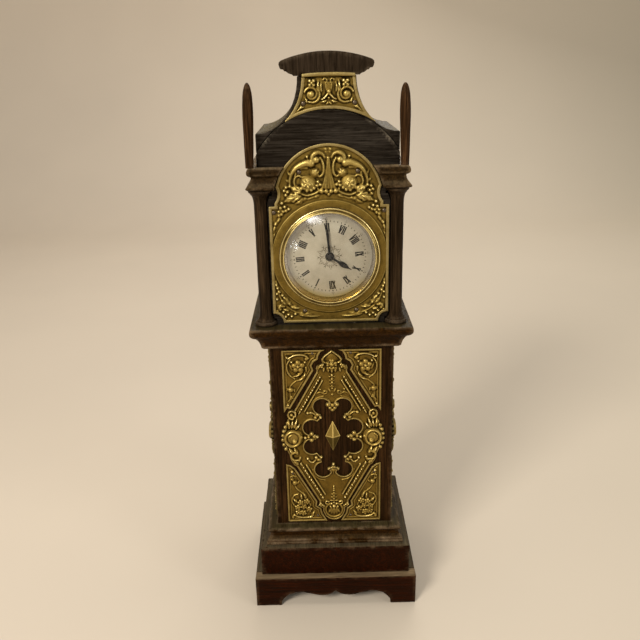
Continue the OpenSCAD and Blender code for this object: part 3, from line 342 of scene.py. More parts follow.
def glass_material():
    """A thin watch glass: clear, with a reflection that grows towards its rim."""
    s = Shader("watch_glass")
    smear = s.noise(0.2, 3, 0.6)
    clear = s.new("BsdfTransparent", {"Color": (0.93, 0.94, 0.93)})
    # painted reflection: low down the gloss is tinted with the colour of the bezel
    tint = s.mix(s.fit(s.axis("Z"), DIAL_Z - 8, DIAL_Z - 20), (1, 1, 1), (0.95, 0.70, 0.24))
    gloss = s.new("BsdfGlossy", {"Color": tint, "Roughness": s.fit(smear, 0.35, 0.75, 0.08, 0.13)})
    fresnel = s.mul(s.new("Fresnel", {"IOR": 1.5}).outputs[0], 0.5)
    haze = s.fit(dial_radius(s), 22.5, 26.2, 0, 0.16)
    fac = s.add(s.add(fresnel, s.fit(smear, 0.45, 0.8, 0, 0.02)), haze)
    mixed = s.new("MixShader", {0: fac, 1: clear.outputs[0], 2: gloss.outputs[0]})
    s.put(s.tree.nodes["Material Output"].inputs["Surface"], mixed.outputs[0])
    s.tree.nodes.remove(s.bsdf)
    return s.mat


MASK_BRASS = brass_stamped("brass_mask", (0.166, 0.108, 0.022), (0.62, 0.475, 0.15), (0.010, 0.006, 0.002),
                           (0.95, 0.83, 0.43), (0.32, 0.25, 0.105))
TRUNK_BRASS = brass_stamped("brass_trunk", (0.160, 0.098, 0.018), (0.50, 0.36, 0.098), (0.012, 0.007, 0.002),
                            (1, 0.85, 0.42), (0.36, 0.27, 0.095))
# painted shade: the side mounts get a darker copy of the front mounts' brass
SHADED_SIDE_BRASS = brass_stamped("brass_sides_painted_shade", (0.115, 0.078, 0.020), (0.38, 0.285, 0.095), (0.010, 0.006, 0.002),
                           (0.78, 0.66, 0.34), (0.110, 0.083, 0.036))
# the diamond bosses' brass has painted shade on its lower faces
BOSS_BRASS = brass_stamped("brass_boss", (0.150, 0.098, 0.022), (0.28, 0.195, 0.050), (0.05, 0.03, 0.006),
                           (0.58, 0.43, 0.14), (0.29, 0.205, 0.06), 0.64, True)
POLISHED = bezel_material()
PLATE_BRASS = brass_turned("brass_plates", (0.66, 0.47, 0.18), 0.30, "Z")
WHEEL_BRASS = brass_turned("brass_wheels", (0.72, 0.52, 0.20), 0.24)
DULL_BRASS = brass_turned("brass_fittings", (0.40, 0.27, 0.10), 0.42, "Z")
STEEL = steel_material("steel", (0.42, 0.41, 0.40), 0.28, (0.20, 0.16, 0.12))
PIN_STEEL = steel_material("steel_pins", (0.125, 0.095, 0.062), 0.34, (0.048, 0.030, 0.016))
BLACKENED = steel_material("steel_blackened", (0.016, 0.017, 0.022), 0.36, (0.030, 0.024, 0.020))
BLUED = steel_material("steel_blued", (0.035, 0.055, 0.14), 0.26, (0.06, 0.05, 0.10))
ENAMEL = enamel_material()
INK = ink_material("dial_ink", (0.005, 0.0038, 0.0035))
GLASS = glass_material()


# Mesh helpers

def lattice(points, scale, seed=0):
    """Smooth noise between -1 and 1 at points in millimetres."""
    q = np.asarray(points, float) / scale
    cell = np.floor(q).astype(np.int64)
    f = q - cell
    f = f * f * (3 - 2 * f)
    out = np.zeros(len(q))
    for corner in range(8):
        step = np.array([corner & 1, corner >> 1 & 1, corner >> 2 & 1])
        c = cell + step
        h = (c[:, 0] * 73856093) ^ (c[:, 1] * 19349663) ^ (c[:, 2] * 83492791) ^ (seed * 2654435761)
        h = (h ^ (h >> 13)) * 1274126177
        out += (((h >> 7) & 0xFFFF) / 32767.5 - 1) * np.prod(np.where(step, f, 1 - f), axis=1)
    return out


def add_piece(name, verts, faces, body, replaced, material, angle=35, attributes=None):
    """Makes an object from points in millimetres, puts it on its body and gives it its looks."""
    mesh = bpy.data.meshes.new(name)
    mesh.from_pydata((np.asarray(verts, float) * MM).tolist(), [], faces)
    finish_piece(name, mesh, body, replaced, material, angle, attributes)


def finish_piece(name, mesh, body, replaced, material, angle=35, attributes=None):
    mesh.update()
    for key, values in (attributes or {}).items():
        mesh.attributes.new(key, "FLOAT", "POINT").data.foreach_set("value", np.asarray(values, np.float32))
    mesh.materials.clear()
    mesh.materials.append(material)
    mesh.polygons.foreach_set("use_smooth", np.ones(len(mesh.polygons), bool))
    mesh.set_sharp_from_angle(angle=math.radians(angle))
    obj = link(name, mesh)
    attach(obj, body)
    if replaced:
        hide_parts(*replaced)


def edge_distance(points, starts, ends):
    """Distance from each point to the nearest of the segments."""
    best = np.full(len(points), 1e9)
    for a, b in zip(starts, ends):
        d = b - a
        t = np.clip((points - a) @ d / max(d @ d, 1e-12), 0, 1)
        best = np.minimum(best, np.linalg.norm(points - a - t[:, None] * d, axis=1))
    return best


def soft_step(value, width):
    t = np.clip(value / width, 0, 1)
    return t * t * (3 - 2 * t)


def worn(node, material, slot, width=0.55, wobble=0.10, longest=3.2, angle=28, dents=0.22, reach=1,
         smooth=40, rubbed=None):
    """A copy of a CAD node with rounded, uneven arrises and slightly wavy faces, moved inwards only.

    rubbed is the lowest and highest z of the paler arrises; without it they all are."""
    bm = bmesh.new()
    bm.from_mesh(nodes[node].data)
    bm.transform(Matrix.Scale(1000, 4))
    bmesh.ops.remove_doubles(bm, verts=bm.verts, dist=0.004)
    bmesh.ops.dissolve_limit(bm, angle_limit=math.radians(1.5), verts=bm.verts, edges=bm.edges)
    bm.normal_update()
    sharp = [e for e in bm.edges if e.is_manifold and e.calc_face_angle(0) > math.radians(angle)]
    convex = [e for e in sharp if e.is_convex]
    starts, ends = ([np.array(e.verts[i].co) for e in convex] for i in (0, 1))
    bmesh.ops.bevel(bm, geom=sharp, offset=width, segments=3, profile=0.5, affect="EDGES",
                    clamp_overlap=True, material=-1)
    bmesh.ops.triangulate(bm, faces=bm.faces)
    for _ in range(7):
        far = [e for e in bm.edges if e.calc_length() > longest]
        if not far:
            break
        bmesh.ops.subdivide_edges(bm, edges=far, cuts=1)
        bmesh.ops.triangulate(bm, faces=[f for f in bm.faces if len(f.verts) > 3])
    bmesh.ops.recalc_face_normals(bm, faces=bm.faces)
    bm.normal_update()
    co = np.array([v.co for v in bm.verts])
    normal = np.array([v.normal for v in bm.verts])
    near = edge_distance(co, starts, ends) if starts else np.full(len(co), 9.0)
    seed = sum(map(ord, node))
    wear = np.exp(-(near / reach) ** 2)
    rough = 0.5 + 0.5 * lattice(co, 7, seed)
    chips = np.clip(lattice(co, 4.4, seed + 1) + 0.5 * lattice(co, 1.7, seed + 3) - 0.5, 0, 1) * 1.2
    depth = wobble * (0.5 + 0.5 * lattice(co, 17, seed + 2)) + wear * dents * (0.45 * rough + chips)
    if rubbed:
        wear = wear * soft_step(co[:, 2] - rubbed[0], 2) * soft_step(rubbed[1] - co[:, 2], 2)
    for v, p in zip(bm.verts, co - normal * depth[:, None]):
        v.co = p * MM
    name = node + "_worn"
    mesh = bpy.data.meshes.new(name)
    bm.to_mesh(mesh)
    bm.free()
    finish_piece(name, mesh, body_of[node], [node], material, smooth,
                 {"wear": np.clip(wear * (0.55 + 0.6 * rough), 0, 1), "relief": 0.6 + 0.4 * wear,
                  "high": np.ones(len(co))})


def lathe(profile, turns, place, bumps=0, seed=0, step=1.2):
    """Points and faces of a turned piece. The profile is [radius, height]; place maps (a, b, height)."""
    rings = []
    for (r0, h0), (r1, h1) in zip(profile, profile[1:]):
        n = max(1, int(math.hypot(r1 - r0, h1 - h0) / step))
        rings += [(r0 + (r1 - r0) * i / n, h0 + (h1 - h0) * i / n) for i in range(n)]
    rings = np.array(rings + [profile[-1]])
    a = np.arange(turns) * 2 * math.pi / turns
    points = np.stack([rings[:, 0, None] * np.cos(a), rings[:, 0, None] * np.sin(a),
                       np.repeat(rings[:, 1, None], turns, 1)], -1).reshape(-1, 3)
    if bumps:
        scale = 1 - bumps * (0.5 + 0.5 * lattice(points, 6, seed)) / np.maximum(
            np.hypot(points[:, 0], points[:, 1]), 1)
        points[:, :2] *= scale[:, None]
    faces = [(i + j, i + (j + 1) % turns, i + turns + (j + 1) % turns, i + turns + j)
             for i in range(0, (len(rings) - 1) * turns, turns) for j in range(turns)]
    return np.array([place(*p) for p in points]), faces


def smooth_curve(points, step):
    """A dense polyline through the given points (Catmull-Rom)."""
    p = np.asarray(points, float)
    if len(p) == 2:
        n = max(2, int(np.linalg.norm(p[1] - p[0]) / step) + 1)
        return p[0] + (p[1] - p[0]) * np.linspace(0, 1, n)[:, None]
    q = np.vstack([2 * p[0] - p[1], p, 2 * p[-1] - p[-2]])
    out = []
    for a, b, c, d in zip(q, q[1:], q[2:], q[3:]):
        n = max(2, int(np.linalg.norm(c - b) / step))
        t = np.linspace(0, 1, n, endpoint=False)[:, None]
        out.append(0.5 * (2 * b + (c - a) * t + (2 * a - 5 * b + 4 * c - d) * t ** 2
                          + (3 * b - a - 3 * c + d) * t ** 3))
    return np.vstack(out + [p[-1:]])


# Relief: height fields drawn on the right half of a mount, then mirrored

class Relief:
    """The right half of a mount's height field and what draws on it. Drawing only raises it, in any order."""

    def __init__(self, half, low, high, step, fat=1):
        self.step, self.fat = step, fat
        self.xs = np.arange(0, half + 2 * step, step)
        self.zs = np.arange(low - 2 * step, high + 2 * step, step)
        self.x, self.z = np.meshgrid(self.xs, self.zs)
        self.h = np.zeros_like(self.x)

    def window(self, x0, x1, z0, z1):
        i0, i1 = np.searchsorted(self.zs, [z0, z1])
        j0, j1 = np.searchsorted(self.xs, [x0, x1])
        return slice(max(i0 - 1, 0), i1 + 1), slice(max(j0 - 1, 0), j1 + 1)

    def raise_to(self, win, height):
        self.h[win] = np.maximum(self.h[win], height)

    def dome(self, x, z, r, h, power=0.5):
        win = self.window(x - r, x + r, z - r, z + r)
        d = np.hypot(self.x[win] - x, self.z[win] - z) / r
        self.raise_to(win, h * np.clip(1 - d * d, 0, 1) ** power)

    def stroke(self, points, width, height, power=0.6):
        """A rounded stem; width and height are numbers or (start, middle, end)."""
        p = smooth_curve(points, self.step * 1.4)
        t = np.linspace(0, 1, len(p))

        def along(v):
            return np.interp(t, [0, 0.5, 1], v) if isinstance(v, tuple) else np.full(len(p), float(v))
        for (x, z), w, h in zip(p, along(width) * self.fat, along(height)):
            if x < -w:
                continue
            win = self.window(x - w, x + w, z - w, z + w)
            d2 = ((self.x[win] - x) ** 2 + (self.z[win] - z) ** 2) / (w * w)
            self.raise_to(win, h * np.clip(1 - d2, 0, 1) ** power)

    def spiral(self, x, z, r0, r1, a0, a1, width, height):
        a = np.radians(np.linspace(a0, a1, max(6, int(abs(a1 - a0) / 22))))
        r = np.linspace(r0, r1, len(a))
        self.stroke(np.stack([x + r * np.cos(a), z + r * np.sin(a)], 1), width, height)

    def leaf(self, base, tip, width, height, lobes=0, bend=0, veins=True):
        """A leaf with a midrib; lobes waves its edge and bend curves it sideways."""
        (x0, z0), (x1, z1) = base, tip
        width = width * self.fat
        length = math.hypot(x1 - x0, z1 - z0)
        ux, uz = (x1 - x0) / length, (z1 - z0) / length
        pad = width + abs(bend) + 0.5
        win = self.window(min(x0, x1) - pad, max(x0, x1) + pad, min(z0, z1) - pad, max(z0, z1) + pad)
        dx, dz = self.x[win] - x0, self.z[win] - z0
        t = (dx * ux + dz * uz) / length
        u = dx * -uz + dz * ux - bend * 4 * t * (1 - t)
        inside = (t > 0) & (t < 1)
        tt = np.clip(t, 0.001, 0.999)
        edge = width * np.sin(math.pi * tt ** 0.75) ** 0.8
        if lobes:
            edge = edge * (0.76 + 0.24 * np.abs(np.cos(math.pi * lobes * tt)))
        s = np.abs(u) / np.maximum(edge, 0.05)
        body = np.clip(1 - s * s, 0, 1) ** 0.55
        if veins:
            body = body * (0.80 + 0.20 * np.cos(np.clip(s, 0, 1) * 9 - tt * 14))
            body = body + 0.22 * np.exp(-(u / 0.28) ** 2) * (s < 1)
        taper = np.minimum(1, np.minimum(tt * 5, (1 - tt) * 3)) ** 0.5
        self.raise_to(win, np.where(inside, height * body * taper, 0))

    def flower(self, x, z, r, petals, height, turn=0):
        for i in range(petals):
            a = math.radians(turn + 360 * i / petals)
            self.dome(x + 0.60 * r * math.cos(a), z + 0.60 * r * math.sin(a), 0.44 * r, height)
        self.dome(x, z, 0.30 * r, height * 1.25)

    def wreath(self, x, z, r, start, bead, height):
        for a in np.radians(start + 55 * np.arange(7)):
            self.dome(x + r * math.cos(a), z + r * math.sin(a), bead, height)

    def vine_leaf(self, x, z, r, turn, height):
        for angle, share in ((0, 1), (62, 0.82), (-62, 0.82), (122, 0.6), (-122, 0.6)):
            a = math.radians(turn + angle)
            back = (x - 0.15 * r * math.cos(a), z - 0.15 * r * math.sin(a))
            tip = (x + share * r * math.cos(a), z + share * r * math.sin(a))
            self.leaf(back, tip, 0.34 * r, height, 2)

    def domes(self, *rows):
        """Rows of x, z, radius and height."""
        for row in rows:
            self.dome(*row)

    def beads(self, r, height, *xz):
        """Equal domes at x, z, x, z and so on."""
        for x, z in zip(xz[::2], xz[1::2]):
            self.dome(x, z, r, height)

    def stems(self, *rows):
        """Rows of width, height and then x, z, x, z of the points."""
        for width, height, *xz in rows:
            self.stroke(np.reshape(xz, (-1, 2)), width, height)

    def leaves(self, *rows):
        """Rows of x, z of the foot, x, z of the tip, width, height, lobes and bend."""
        for x0, z0, x1, z1, *rest in rows:
            self.leaf((x0, z0), (x1, z1), *rest)

    def seat(self, x, z, flat, blend=0.5):
        """Takes the relief away round a pin."""
        win = self.window(x - 2.5, x + 2.5, z - 2.5, z + 2.5)
        self.h[win] *= soft_step(np.hypot(self.x[win] - x, self.z[win] - z) - flat, blend)

    def blur(self, rounds=1):
        h = self.h
        for _ in range(rounds):
            h = np.concatenate([h[:, 1:2], h, h[:, -1:]], 1)
            h = (h[:, :-2] + 2 * h[:, 1:-1] + h[:, 2:]) / 4
            h = np.concatenate([h[:1], h, h[-1:]], 0)
            h = (h[:-2] + 2 * h[1:-1] + h[2:]) / 4
        self.h = h


def mirrored(values):
    return np.concatenate([values[:, :0:-1], values], 1)


def circle_sd(r, x, z, radius):
    return np.hypot(r.x - x, r.z - z) - radius


def box_sd(r, x0, x1, z0, z1):
    dx = np.maximum(x0 - r.x, r.x - x1)
    dz = np.maximum(z0 - r.z, r.z - z1)
    return np.minimum(np.maximum(dx, dz), 0) + np.hypot(np.maximum(dx, 0), np.maximum(dz, 0))


def polygon_sd(r, points):
    """Signed distance to a closed polygon, negative inside."""
    best = np.full(r.x.shape, 1e9)
    inside = np.zeros(r.x.shape, bool)
    for (x0, z0), (x1, z1) in zip(points, points[1:] + points[:1]):
        ex, ez = x1 - x0, z1 - z0
        t = np.clip(((r.x - x0) * ex + (r.z - z0) * ez) / max(ex * ex + ez * ez, 1e-9), 0, 1)
        best = np.minimum(best, np.hypot(r.x - x0 - t * ex, r.z - z0 - t * ez))
        if ez != 0:
            cross = (z0 > r.z) != (z1 > r.z)
            inside ^= cross & (r.x < x0 + ex * (r.z - z0) / ez)
    return np.where(inside, -best, best)


def union(*fields):
    return np.minimum.reduce(fields)


def cut(field, *holes):
    return np.maximum.reduce([field] + [-h for h in holes])


def edge_bead(r, sd, width, height, power, start=-0.3):
    """A raised line that follows the outline, from start to start + width inside it."""
    d = (-sd - start - width / 2) / (width / 2)
    r.h = np.maximum(r.h, height * np.clip(1 - d * d, 0, 1) ** power)


def relief_piece(name, r, sd, place, replaced, material, border, seed, ends=None):
    """Cuts the height field to its outline, and to its two ends in x, and makes a closed sheet of it."""
    h, sdf = mirrored(r.h), mirrored(sd)
    x, z = np.meshgrid(np.concatenate([-r.xs[:0:-1], r.xs]), r.zs)
    flat = np.stack([x.ravel(), z.ravel(), np.zeros(x.size)], 1)
    if ends:
        sdf = np.maximum.reduce([sdf, ends[0] - x, x - ends[1]])
    # the noise comes after the mirroring, so both halves differ
    h = h + 0.05 * (lattice(flat, 0.9, seed) * 0.5 + lattice(flat, 4, seed + 1)).reshape(x.shape)
    h = h * (1 + 0.10 * lattice(flat, 6, seed + 2).reshape(x.shape))
    low = h
    for _ in range(int(round(1.6 / r.step)) * 2):
        low = np.pad(low, 1, mode="edge")
        low = (low[:-2, 1:-1] + low[2:, 1:-1] + low[1:-1, :-2] + low[1:-1, 2:] + low[1:-1, 1:-1]) / 5
    relief = np.clip(0.5 + (h - low) * 0.6, 0, 1)
    gz, gx = np.gradient(sdf, r.step)
    size = np.maximum(np.hypot(gx, gz), 0.3)
    inside = sdf < -0.02
    cell = inside[:-1, :-1] | inside[1:, :-1] | inside[:-1, 1:] | inside[1:, 1:]
    used = np.zeros_like(inside)
    for di in (0, 1):
        for dj in (0, 1):
            used[di:used.shape[0] - 1 + di, dj:used.shape[1] - 1 + dj] |= cell
    move = np.where(used & ~inside, sdf, 0)
    px, pz = x - move * gx / size ** 2, z - move * gz / size ** 2
    index = -np.ones(x.shape, int)
    index[used] = np.arange(used.sum())
    top = np.stack([px[used], h[used], pz[used]], 1)
    i, j = np.nonzero(cell)
    quads = np.stack([index[i, j], index[i, j + 1], index[i + 1, j + 1], index[i + 1, j]], 1)
    edges = np.concatenate([quads[:, [k, (k + 1) % 4]] for k in range(4)])
    low_end, high_end = np.sort(edges, 1).T
    _, first, count = np.unique(low_end * (used.sum() + 1) + high_end, return_index=True, return_counts=True)
    rim = edges[first[count == 1]]
    ring = np.unique(rim)
    lower = -np.ones(len(top), int)
    lower[ring] = len(top) + np.arange(len(ring))
    bottom = top[ring].copy()
    bottom[:, 1] = -SHEET
    walls = np.stack([rim[:, 1], rim[:, 0], lower[rim[:, 0]], lower[rim[:, 1]]], 1)
    points = np.concatenate([top, bottom])
    world = np.stack(place(points[:, 0], points[:, 1], points[:, 2]), 1)
    mesh = bpy.data.meshes.new(name)
    mesh.from_pydata((world * MM).tolist(), [], np.concatenate([quads, walls]).tolist())
    tops = {"relief": relief[used], "high": np.clip(h[used] / 1.6, 0, 1),
            "border": soft_step(border + sdf[used], 0.35)}
    bottoms = {"relief": 0.35, "high": 0, "border": 0}
    bm = bmesh.new()
    bm.from_mesh(mesh)
    bmesh.ops.triangle_fill(bm, edges=[e for e in bm.edges if e.is_boundary], use_beauty=False,
                            use_dissolve=False)
    bmesh.ops.recalc_face_normals(bm, faces=bm.faces)
    bm.to_mesh(mesh)
    bm.free()
    finish_piece(name, mesh, "case", replaced, material, 62,
                 {key: np.append(tops[key], np.full(len(ring), bottoms[key])) for key in tops})


def trunk_face(side):
    """Maps a trunk mount onto the front (0), the right (1) or the left (-1) of the trunk."""
    if side == 0:
        return lambda x, h, z: (x, TRUNK_Y - SHEET - h, z + LOZENGE_Z)
    return lambda x, h, z: (side * (TRUNK_HALF + SHEET + h), SIDE_Y + side * x, z + LOZENGE_Z)


# Dial mask

MASK_PINS = ((16.5, 49.6), (31.6, 27), (15.4, -32.7))
CREST_PIN = (14, 326.2)
CORNER_PINS = ((11.8, 59.75), (11, -58.15), (26.6, -25.15))
# The flat seat of a pin on the mask and the crest, and the radius of the plain ring
PIN_R = 1.3
RING = 34.2


def make_mask(step):
    r = Relief(34.6, -40.5, 65.5, step, 1.22)
    half, bottom, shoulder, arch, arch_r = 34.3, -40, 30.5, 34, 31
    outer = union(box_sd(r, -half, half, bottom, shoulder), circle_sd(r, 0, arch, arch_r),
                  box_sd(r, -arch_r, arch_r, shoulder - 1, arch))
    outer = cut(outer, circle_sd(r, 36.5, 37.5, 7.5), circle_sd(r, 34.4, -40, 6))
    sd = cut(outer, circle_sd(r, 0, 0, 28.2))
    s = r.stroke
    # top scroll, its stem and the fronds
    r.stems(((0.6, 1.25, 0.9), (0.9, 1.7, 1.3), 1.9, 57.4, 3.2, 59.3, 5.6, 60.1, 8.2, 59, 9.2, 56.7, 8.2,
            54.6),
        ((0.55, 0.8, 0.5), 1.2, 4.4, 57.3, 3.1, 54.6, 2.6, 51.6, 3, 48.6, 4.8, 47, 6.2, 48.2, 5.6, 49.6),
        (0.4, 0.7, 10.9, 56.2, 11.6, 57.2),
        ((1.9, 1.35, 0.55), (1.9, 1.6, 0.9), 9.6, 54.2, 12.2, 54.5, 15.2, 53.6, 18.2, 51.8, 20.5, 49, 21.8,
            45.4, 21.9, 42.6), ((0.7, 0.6, 0.35), 1, 12, 51.8, 15, 51.6, 17.6, 49.8, 19, 47.2))
    r.leaves((20.9, 46.6, 23, 50, 0.9, 1), (22, 44, 24.3, 45.6, 0.7, 0.8))
    r.domes((1.3, 61.9, 0.85, 0.7), (1.1, 60.3, 0.6, 0.5), (6.6, 56.2, 2, 2), (11.8, 57.9, 0.95, 1.1))
    # vine leaf, grapes and the round tendril
    r.stems(((0.55, 0.65, 0.5), 1.1, 1.9, 44.6, 2.6, 42.2, 4.3, 40, 7.6, 37.6, 12.3, 36.5, 16, 37.9, 19,
            40.3))
    r.domes((11.6, 43.2, 4.6, 1.5, 0.4))
    r.vine_leaf(11.6, 43.2, 5.2, -30, 2.3)
    r.domes((7.8, 49, 2.7, 1.3, 0.4))
    r.vine_leaf(7.8, 49, 3.2, 120, 1.9)
    r.stems((0.5, 1.1, 9.4, 45.6, 12.6, 47, 15, 46.8, 16.6, 47.8),
        ((0.5, 0.6, 0.4), 1, 16.6, 47.8, 18.8, 46.4, 19.4, 43.6, 18.6, 41.4))
    r.leaves((15.6, 37.6, 21.8, 41.4, 2.5, 2.1, 3, 0.5))
    r.beads(1.15, 1.6, 6, 44, 6.5, 41.9, 8.2, 40.5, 4.6, 42.4, 9.9, 39.4, 13.6, 40.5, 14.7, 42.4,
        15.4, 40.4, 12.2, 39.2)
    r.beads(1.1, 1.4, 24.1, 41.2, 23.3, 38.7, 22, 41.8, 25.2, 39.4, 24.4, 36.9)
    # the big leaf that lies along the ring, and its sprigs
    r.stems((0.4, 0.7, 8.6, 35.4, 11.6, 34.4, 13.6, 35))
    r.leaves((15, 36.2, 25.8, 32.8, 2.7, 2.3, 4, 0.8), (14.2, 35.2, 19.6, 31.6, 1.5, 1.3, 2, -0.4),
        (12.6, 35.2, 15.6, 33, 0.9, 0.9), (5.2, 36.6, 8.8, 35, 0.9, 0.9))
    # fluted stem and husk in the middle
    for x0, x1, h in ((0, 0, 1.1), (0.55, 1.7, 1.2), (1, 3.3, 1.1)):
        s([(x0 * 0.5, 57.6), (x0, 51), (x0 * 0.55 + x1 * 0.45, 45.2), (x1, 40.6)], (0.34, 0.5, 0.85), h)
    r.stems((0.5, 1, 3.9, 37.6, 5.6, 38.6, 6, 40.2))
    r.domes((1.35, 38.6, 1.45, 1.7), (4, 38.7, 1.5, 1.7), (0, 36.9, 1.1, 1.3))
    # shoulder berries and the buds that run down the side
    r.stems((0.35, 0.7, 28.6, 24.4, 30.2, 21.6, 31.4, 18.8, 32, 15.6))
    r.leaves((26.4, 30.4, 30.4, 24, 0.9, 1), (28.2, 24.4, 29.4, 21.4, 0.9, 1.2),
        (30, 21.8, 31.4, 19.2, 0.9, 1.2), (31.2, 19.2, 32.3, 15.8, 0.8, 1.1),
        (31.7, 15, 32.3, 9.4, 0.55, 0.9))
    r.domes((29.3, 22.2, 0.95, 1.3), (31, 20.2, 0.95, 1.3))
    r.beads(1.1, 1.5, 23, 29, 25.2, 30.2, 26.8, 32.4, 26.2, 27.6, 27.6, 29.6, 27.2, 26, 28.6, 25.2,
        24.6, 28, 28.6, 27.6)
    # sprays in the lower corners
    r.stems((0.4, 0.8, 32.2, -14, 31.2, -18, 30.4, -22.4, 28.6, -26.6, 25.6, -30.4, 20.6, -33.4, 14, -35.2))
    r.leaves((29.4, -25.2, 26, -29.4, 1.5, 1.4, 2), (26.6, -26, 23.4, -29.4, 1.3, 1.4, 2),
        (28.2, -23.4, 24.6, -26.8, 1.1, 1.4, 2), (29.2, -28, 31.8, -31.8, 1.2, 1.4, 2),
        (27, -29.6, 31, -29.2, 1, 1.4, 2), (24, -30, 18.2, -30.9, 1.35, 1.4, 2),
        (24.8, -32.4, 28.6, -31.2, 1, 1.4, 2), (19.4, -35, 6.4, -36.3, 1, 1.2, 0, 0.3),
        (18.4, -33.6, 10.4, -34.4, 0.6, 0.9, 0, 0.2))
    r.beads(0.95, 1.3, 31.3, -18, 30.4, -20.4, 31.8, -21.6, 32.2, -16.2, 28.6, -22.6, 31.9, -25)
    r.beads(1, 1.3, 28.4, -33.2, 32, -33, 25.4, -34.8, 21.2, -34.5, 27, -36.2, 23.4, -36, 29.8, -35.4,
        30.2, -31.4)
    # seats of the pins, the plain ring and the border
    for x, z in MASK_PINS:
        r.seat(x, z, PIN_R, 0.6)
    r.blur(1 if step > 0.3 else 2)
    dist = np.hypot(r.x, r.z)
    r.h = np.where(dist < RING + 0.1, 0.78 * soft_step(RING - dist, 0.9), r.h * soft_step(dist - RING, 0.5))
    r.h = r.h - np.where(dist < RING, 0.18 * np.exp(-((dist - 33) / 0.3) ** 2), 0)
    r.h = r.h * np.where(dist < 33.6, 1, soft_step(-outer - 1.5, 0.6))
    edge_bead(r, outer, 2, 0.55, 0.3)
    relief_piece("dial_mask_relief", r, sd, front_at(MASK_Y, DIAL_Z), ["dial_mask"], MASK_BRASS, 1.6, 11)


def front_at(y, z0):
    return lambda x, h, z: (x, y - h, z + z0)


# Crest mount, nailed on a little to the right of the middle

CREST_SHIFT = 1
CREST_TIPS = (-23.2, 26.4)


def make_crest(step):
    r = Relief(26.4, 303, 343, step)
    neck_half, hood_half, neck_z, eave_z = 16.1, 40.2, 340.4, 310.6
    sweep = [(hood_half + (hood_half - neck_half + 1.5) * math.cos(math.radians(a)),
              neck_z + (neck_z - eave_z - 0.3) * math.sin(math.radians(a))) for a in np.arange(180, 271, 5)]
    top = neck_z + 1.2
    right = [(0, top + 0.5), (5, top + 0.42), (10, top + 0.2), (14.3, top - 0.2)]
    right += [p for p in sweep if p[1] < top - 2]
    outline = [(-x, z) for x, z in right[::-1]] + right
    sd = np.maximum(polygon_sd(r, outline), r.x - 25.4)
    # its lower edge follows the arch
    sd = cut(sd, circle_sd(r, 0, 276.27, 47.03))
    s = r.stroke
    r.flower(9.2, 336.7, 2.5, 4, 1.5, 45)
    r.spiral(9.5, 330.9, 3.9, 1.7, 20, 395, (0.8, 0.9, 0.7), 1.2)
    r.stems(((0.7, 0.95, 0.6), 1.3, 5.4, 333.2, 5, 330.4, 6, 328, 8.2, 326.8, 10.8, 327),
        (0.42, 1, 0.9, 336.6, 1.2, 338.6, 2.2, 339, 3, 338.2))
    r.leaves((5.2, 331.2, 5.4, 338.3, 1.15, 1.6, 0, -0.5), (3.8, 331.6, 3.9, 337.4, 0.8, 1.3, 0, -0.4))
    r.domes((9.5, 330.9, 2, 1.8))
    for x in (0, 0.9, 1.8):
        s([(x * 0.45, 331), (x * 0.8, 334), (x, 337)], (0.35, 0.45, 0.3), 0.8)
    r.stems(((0.9, 0.7, 0.5), 1.4, 0, 331.6, 1.3, 330.2, 2.6, 328.9, 4, 328.2),
        ((0.7, 0.5, 0.3), 1, 15, 325, 16.4, 323.2, 18.4, 321.4))
    r.leaves((1, 327.6, 4.8, 326.6, 0.8, 1.2), (0.2, 327, 1.6, 325.2, 0.6, 0.8),
        (11.6, 326.6, 13, 329.4, 0.8, 1.1), (13.4, 325.4, 16.6, 323, 0.8, 1.1))
    r.domes((0, 332.3, 1.3, 1.7), (0, 329, 0.7, 0.9), (2.6, 327, 0.8, 1.2), (12.2, 327.2, 0.8, 1.2))
    r.seat(*CREST_PIN, PIN_R)
    r.blur(1)
    r.h = r.h * soft_step(-sd - 1.5, 0.6)
    edge_bead(r, sd, 2.1, 0.5, 0.3)
    # its top edge lies over the front of the cap
    r.h = r.h + 0.75 * soft_step(r.z - neck_z + 0.9, 0.7)
    relief_piece("crest_relief", r, sd, lambda x, h, z: (x + CREST_SHIFT, CREST_Y - h, z), ["crest_mount"],
                 MASK_BRASS, 1.7, 23, [t - CREST_SHIFT for t in CREST_TIPS])


# Trunk mounts

LOZENGE = [(-0.1, 62.1), (2.3, 60.3), (5.1, 58.1), (6.6, 55.9), (5.9, 53.8), (6.6, 52.9), (9.2, 51.9), (9.9, 50),
           (9.4, 48.4), (9.7, 47.2), (24.2, 21), (25.6, 21.7), (27.8, 20.9), (28.9, 18.7), (28.2, 16.1),
           (29, 13.4), (30.3, 10.1), (30.6, 6), (30.7, 1.3), (30.6, -3.3), (30, -7), (28.3, -10.8),
           (27.7, -14.5), (25.4, -18.6), (24, -19.4), (9.5, -46.9), (10, -49.6), (8.8, -51), (7.2, -52),
           (7.3, -54.5), (5.6, -58.6), (3, -60.8), (0, -61.4)]
TOP_CORNER = [(4, 62.15), (6.7, 61), (8.2, 58.2), (8.7, 55.7), (11.2, 54.2), (12.5, 51.6), (11.4, 48.5),
              (26.9, 22.2), (28.6, 22.9), (30.8, 19.6), (30.8, 62.15)]
LOW_CORNER = [(30.8, -18), (28, -18.8), (25.1, -21.2), (11.1, -46.9), (11.6, -50.2), (8.7, -52.4), (7.8, -56.5),
              (4.6, -62.15), (30.8, -62.15)]
RIM_BEADS = [(28.7, 12.2), (30.3, 9.4), (31.4, 6.5), (32, 3.4), (32.1, 0.2), (31.6, -3.2), (30.5, -6.3)]
SIDE_MOST = 33.3
BAND = 3.45


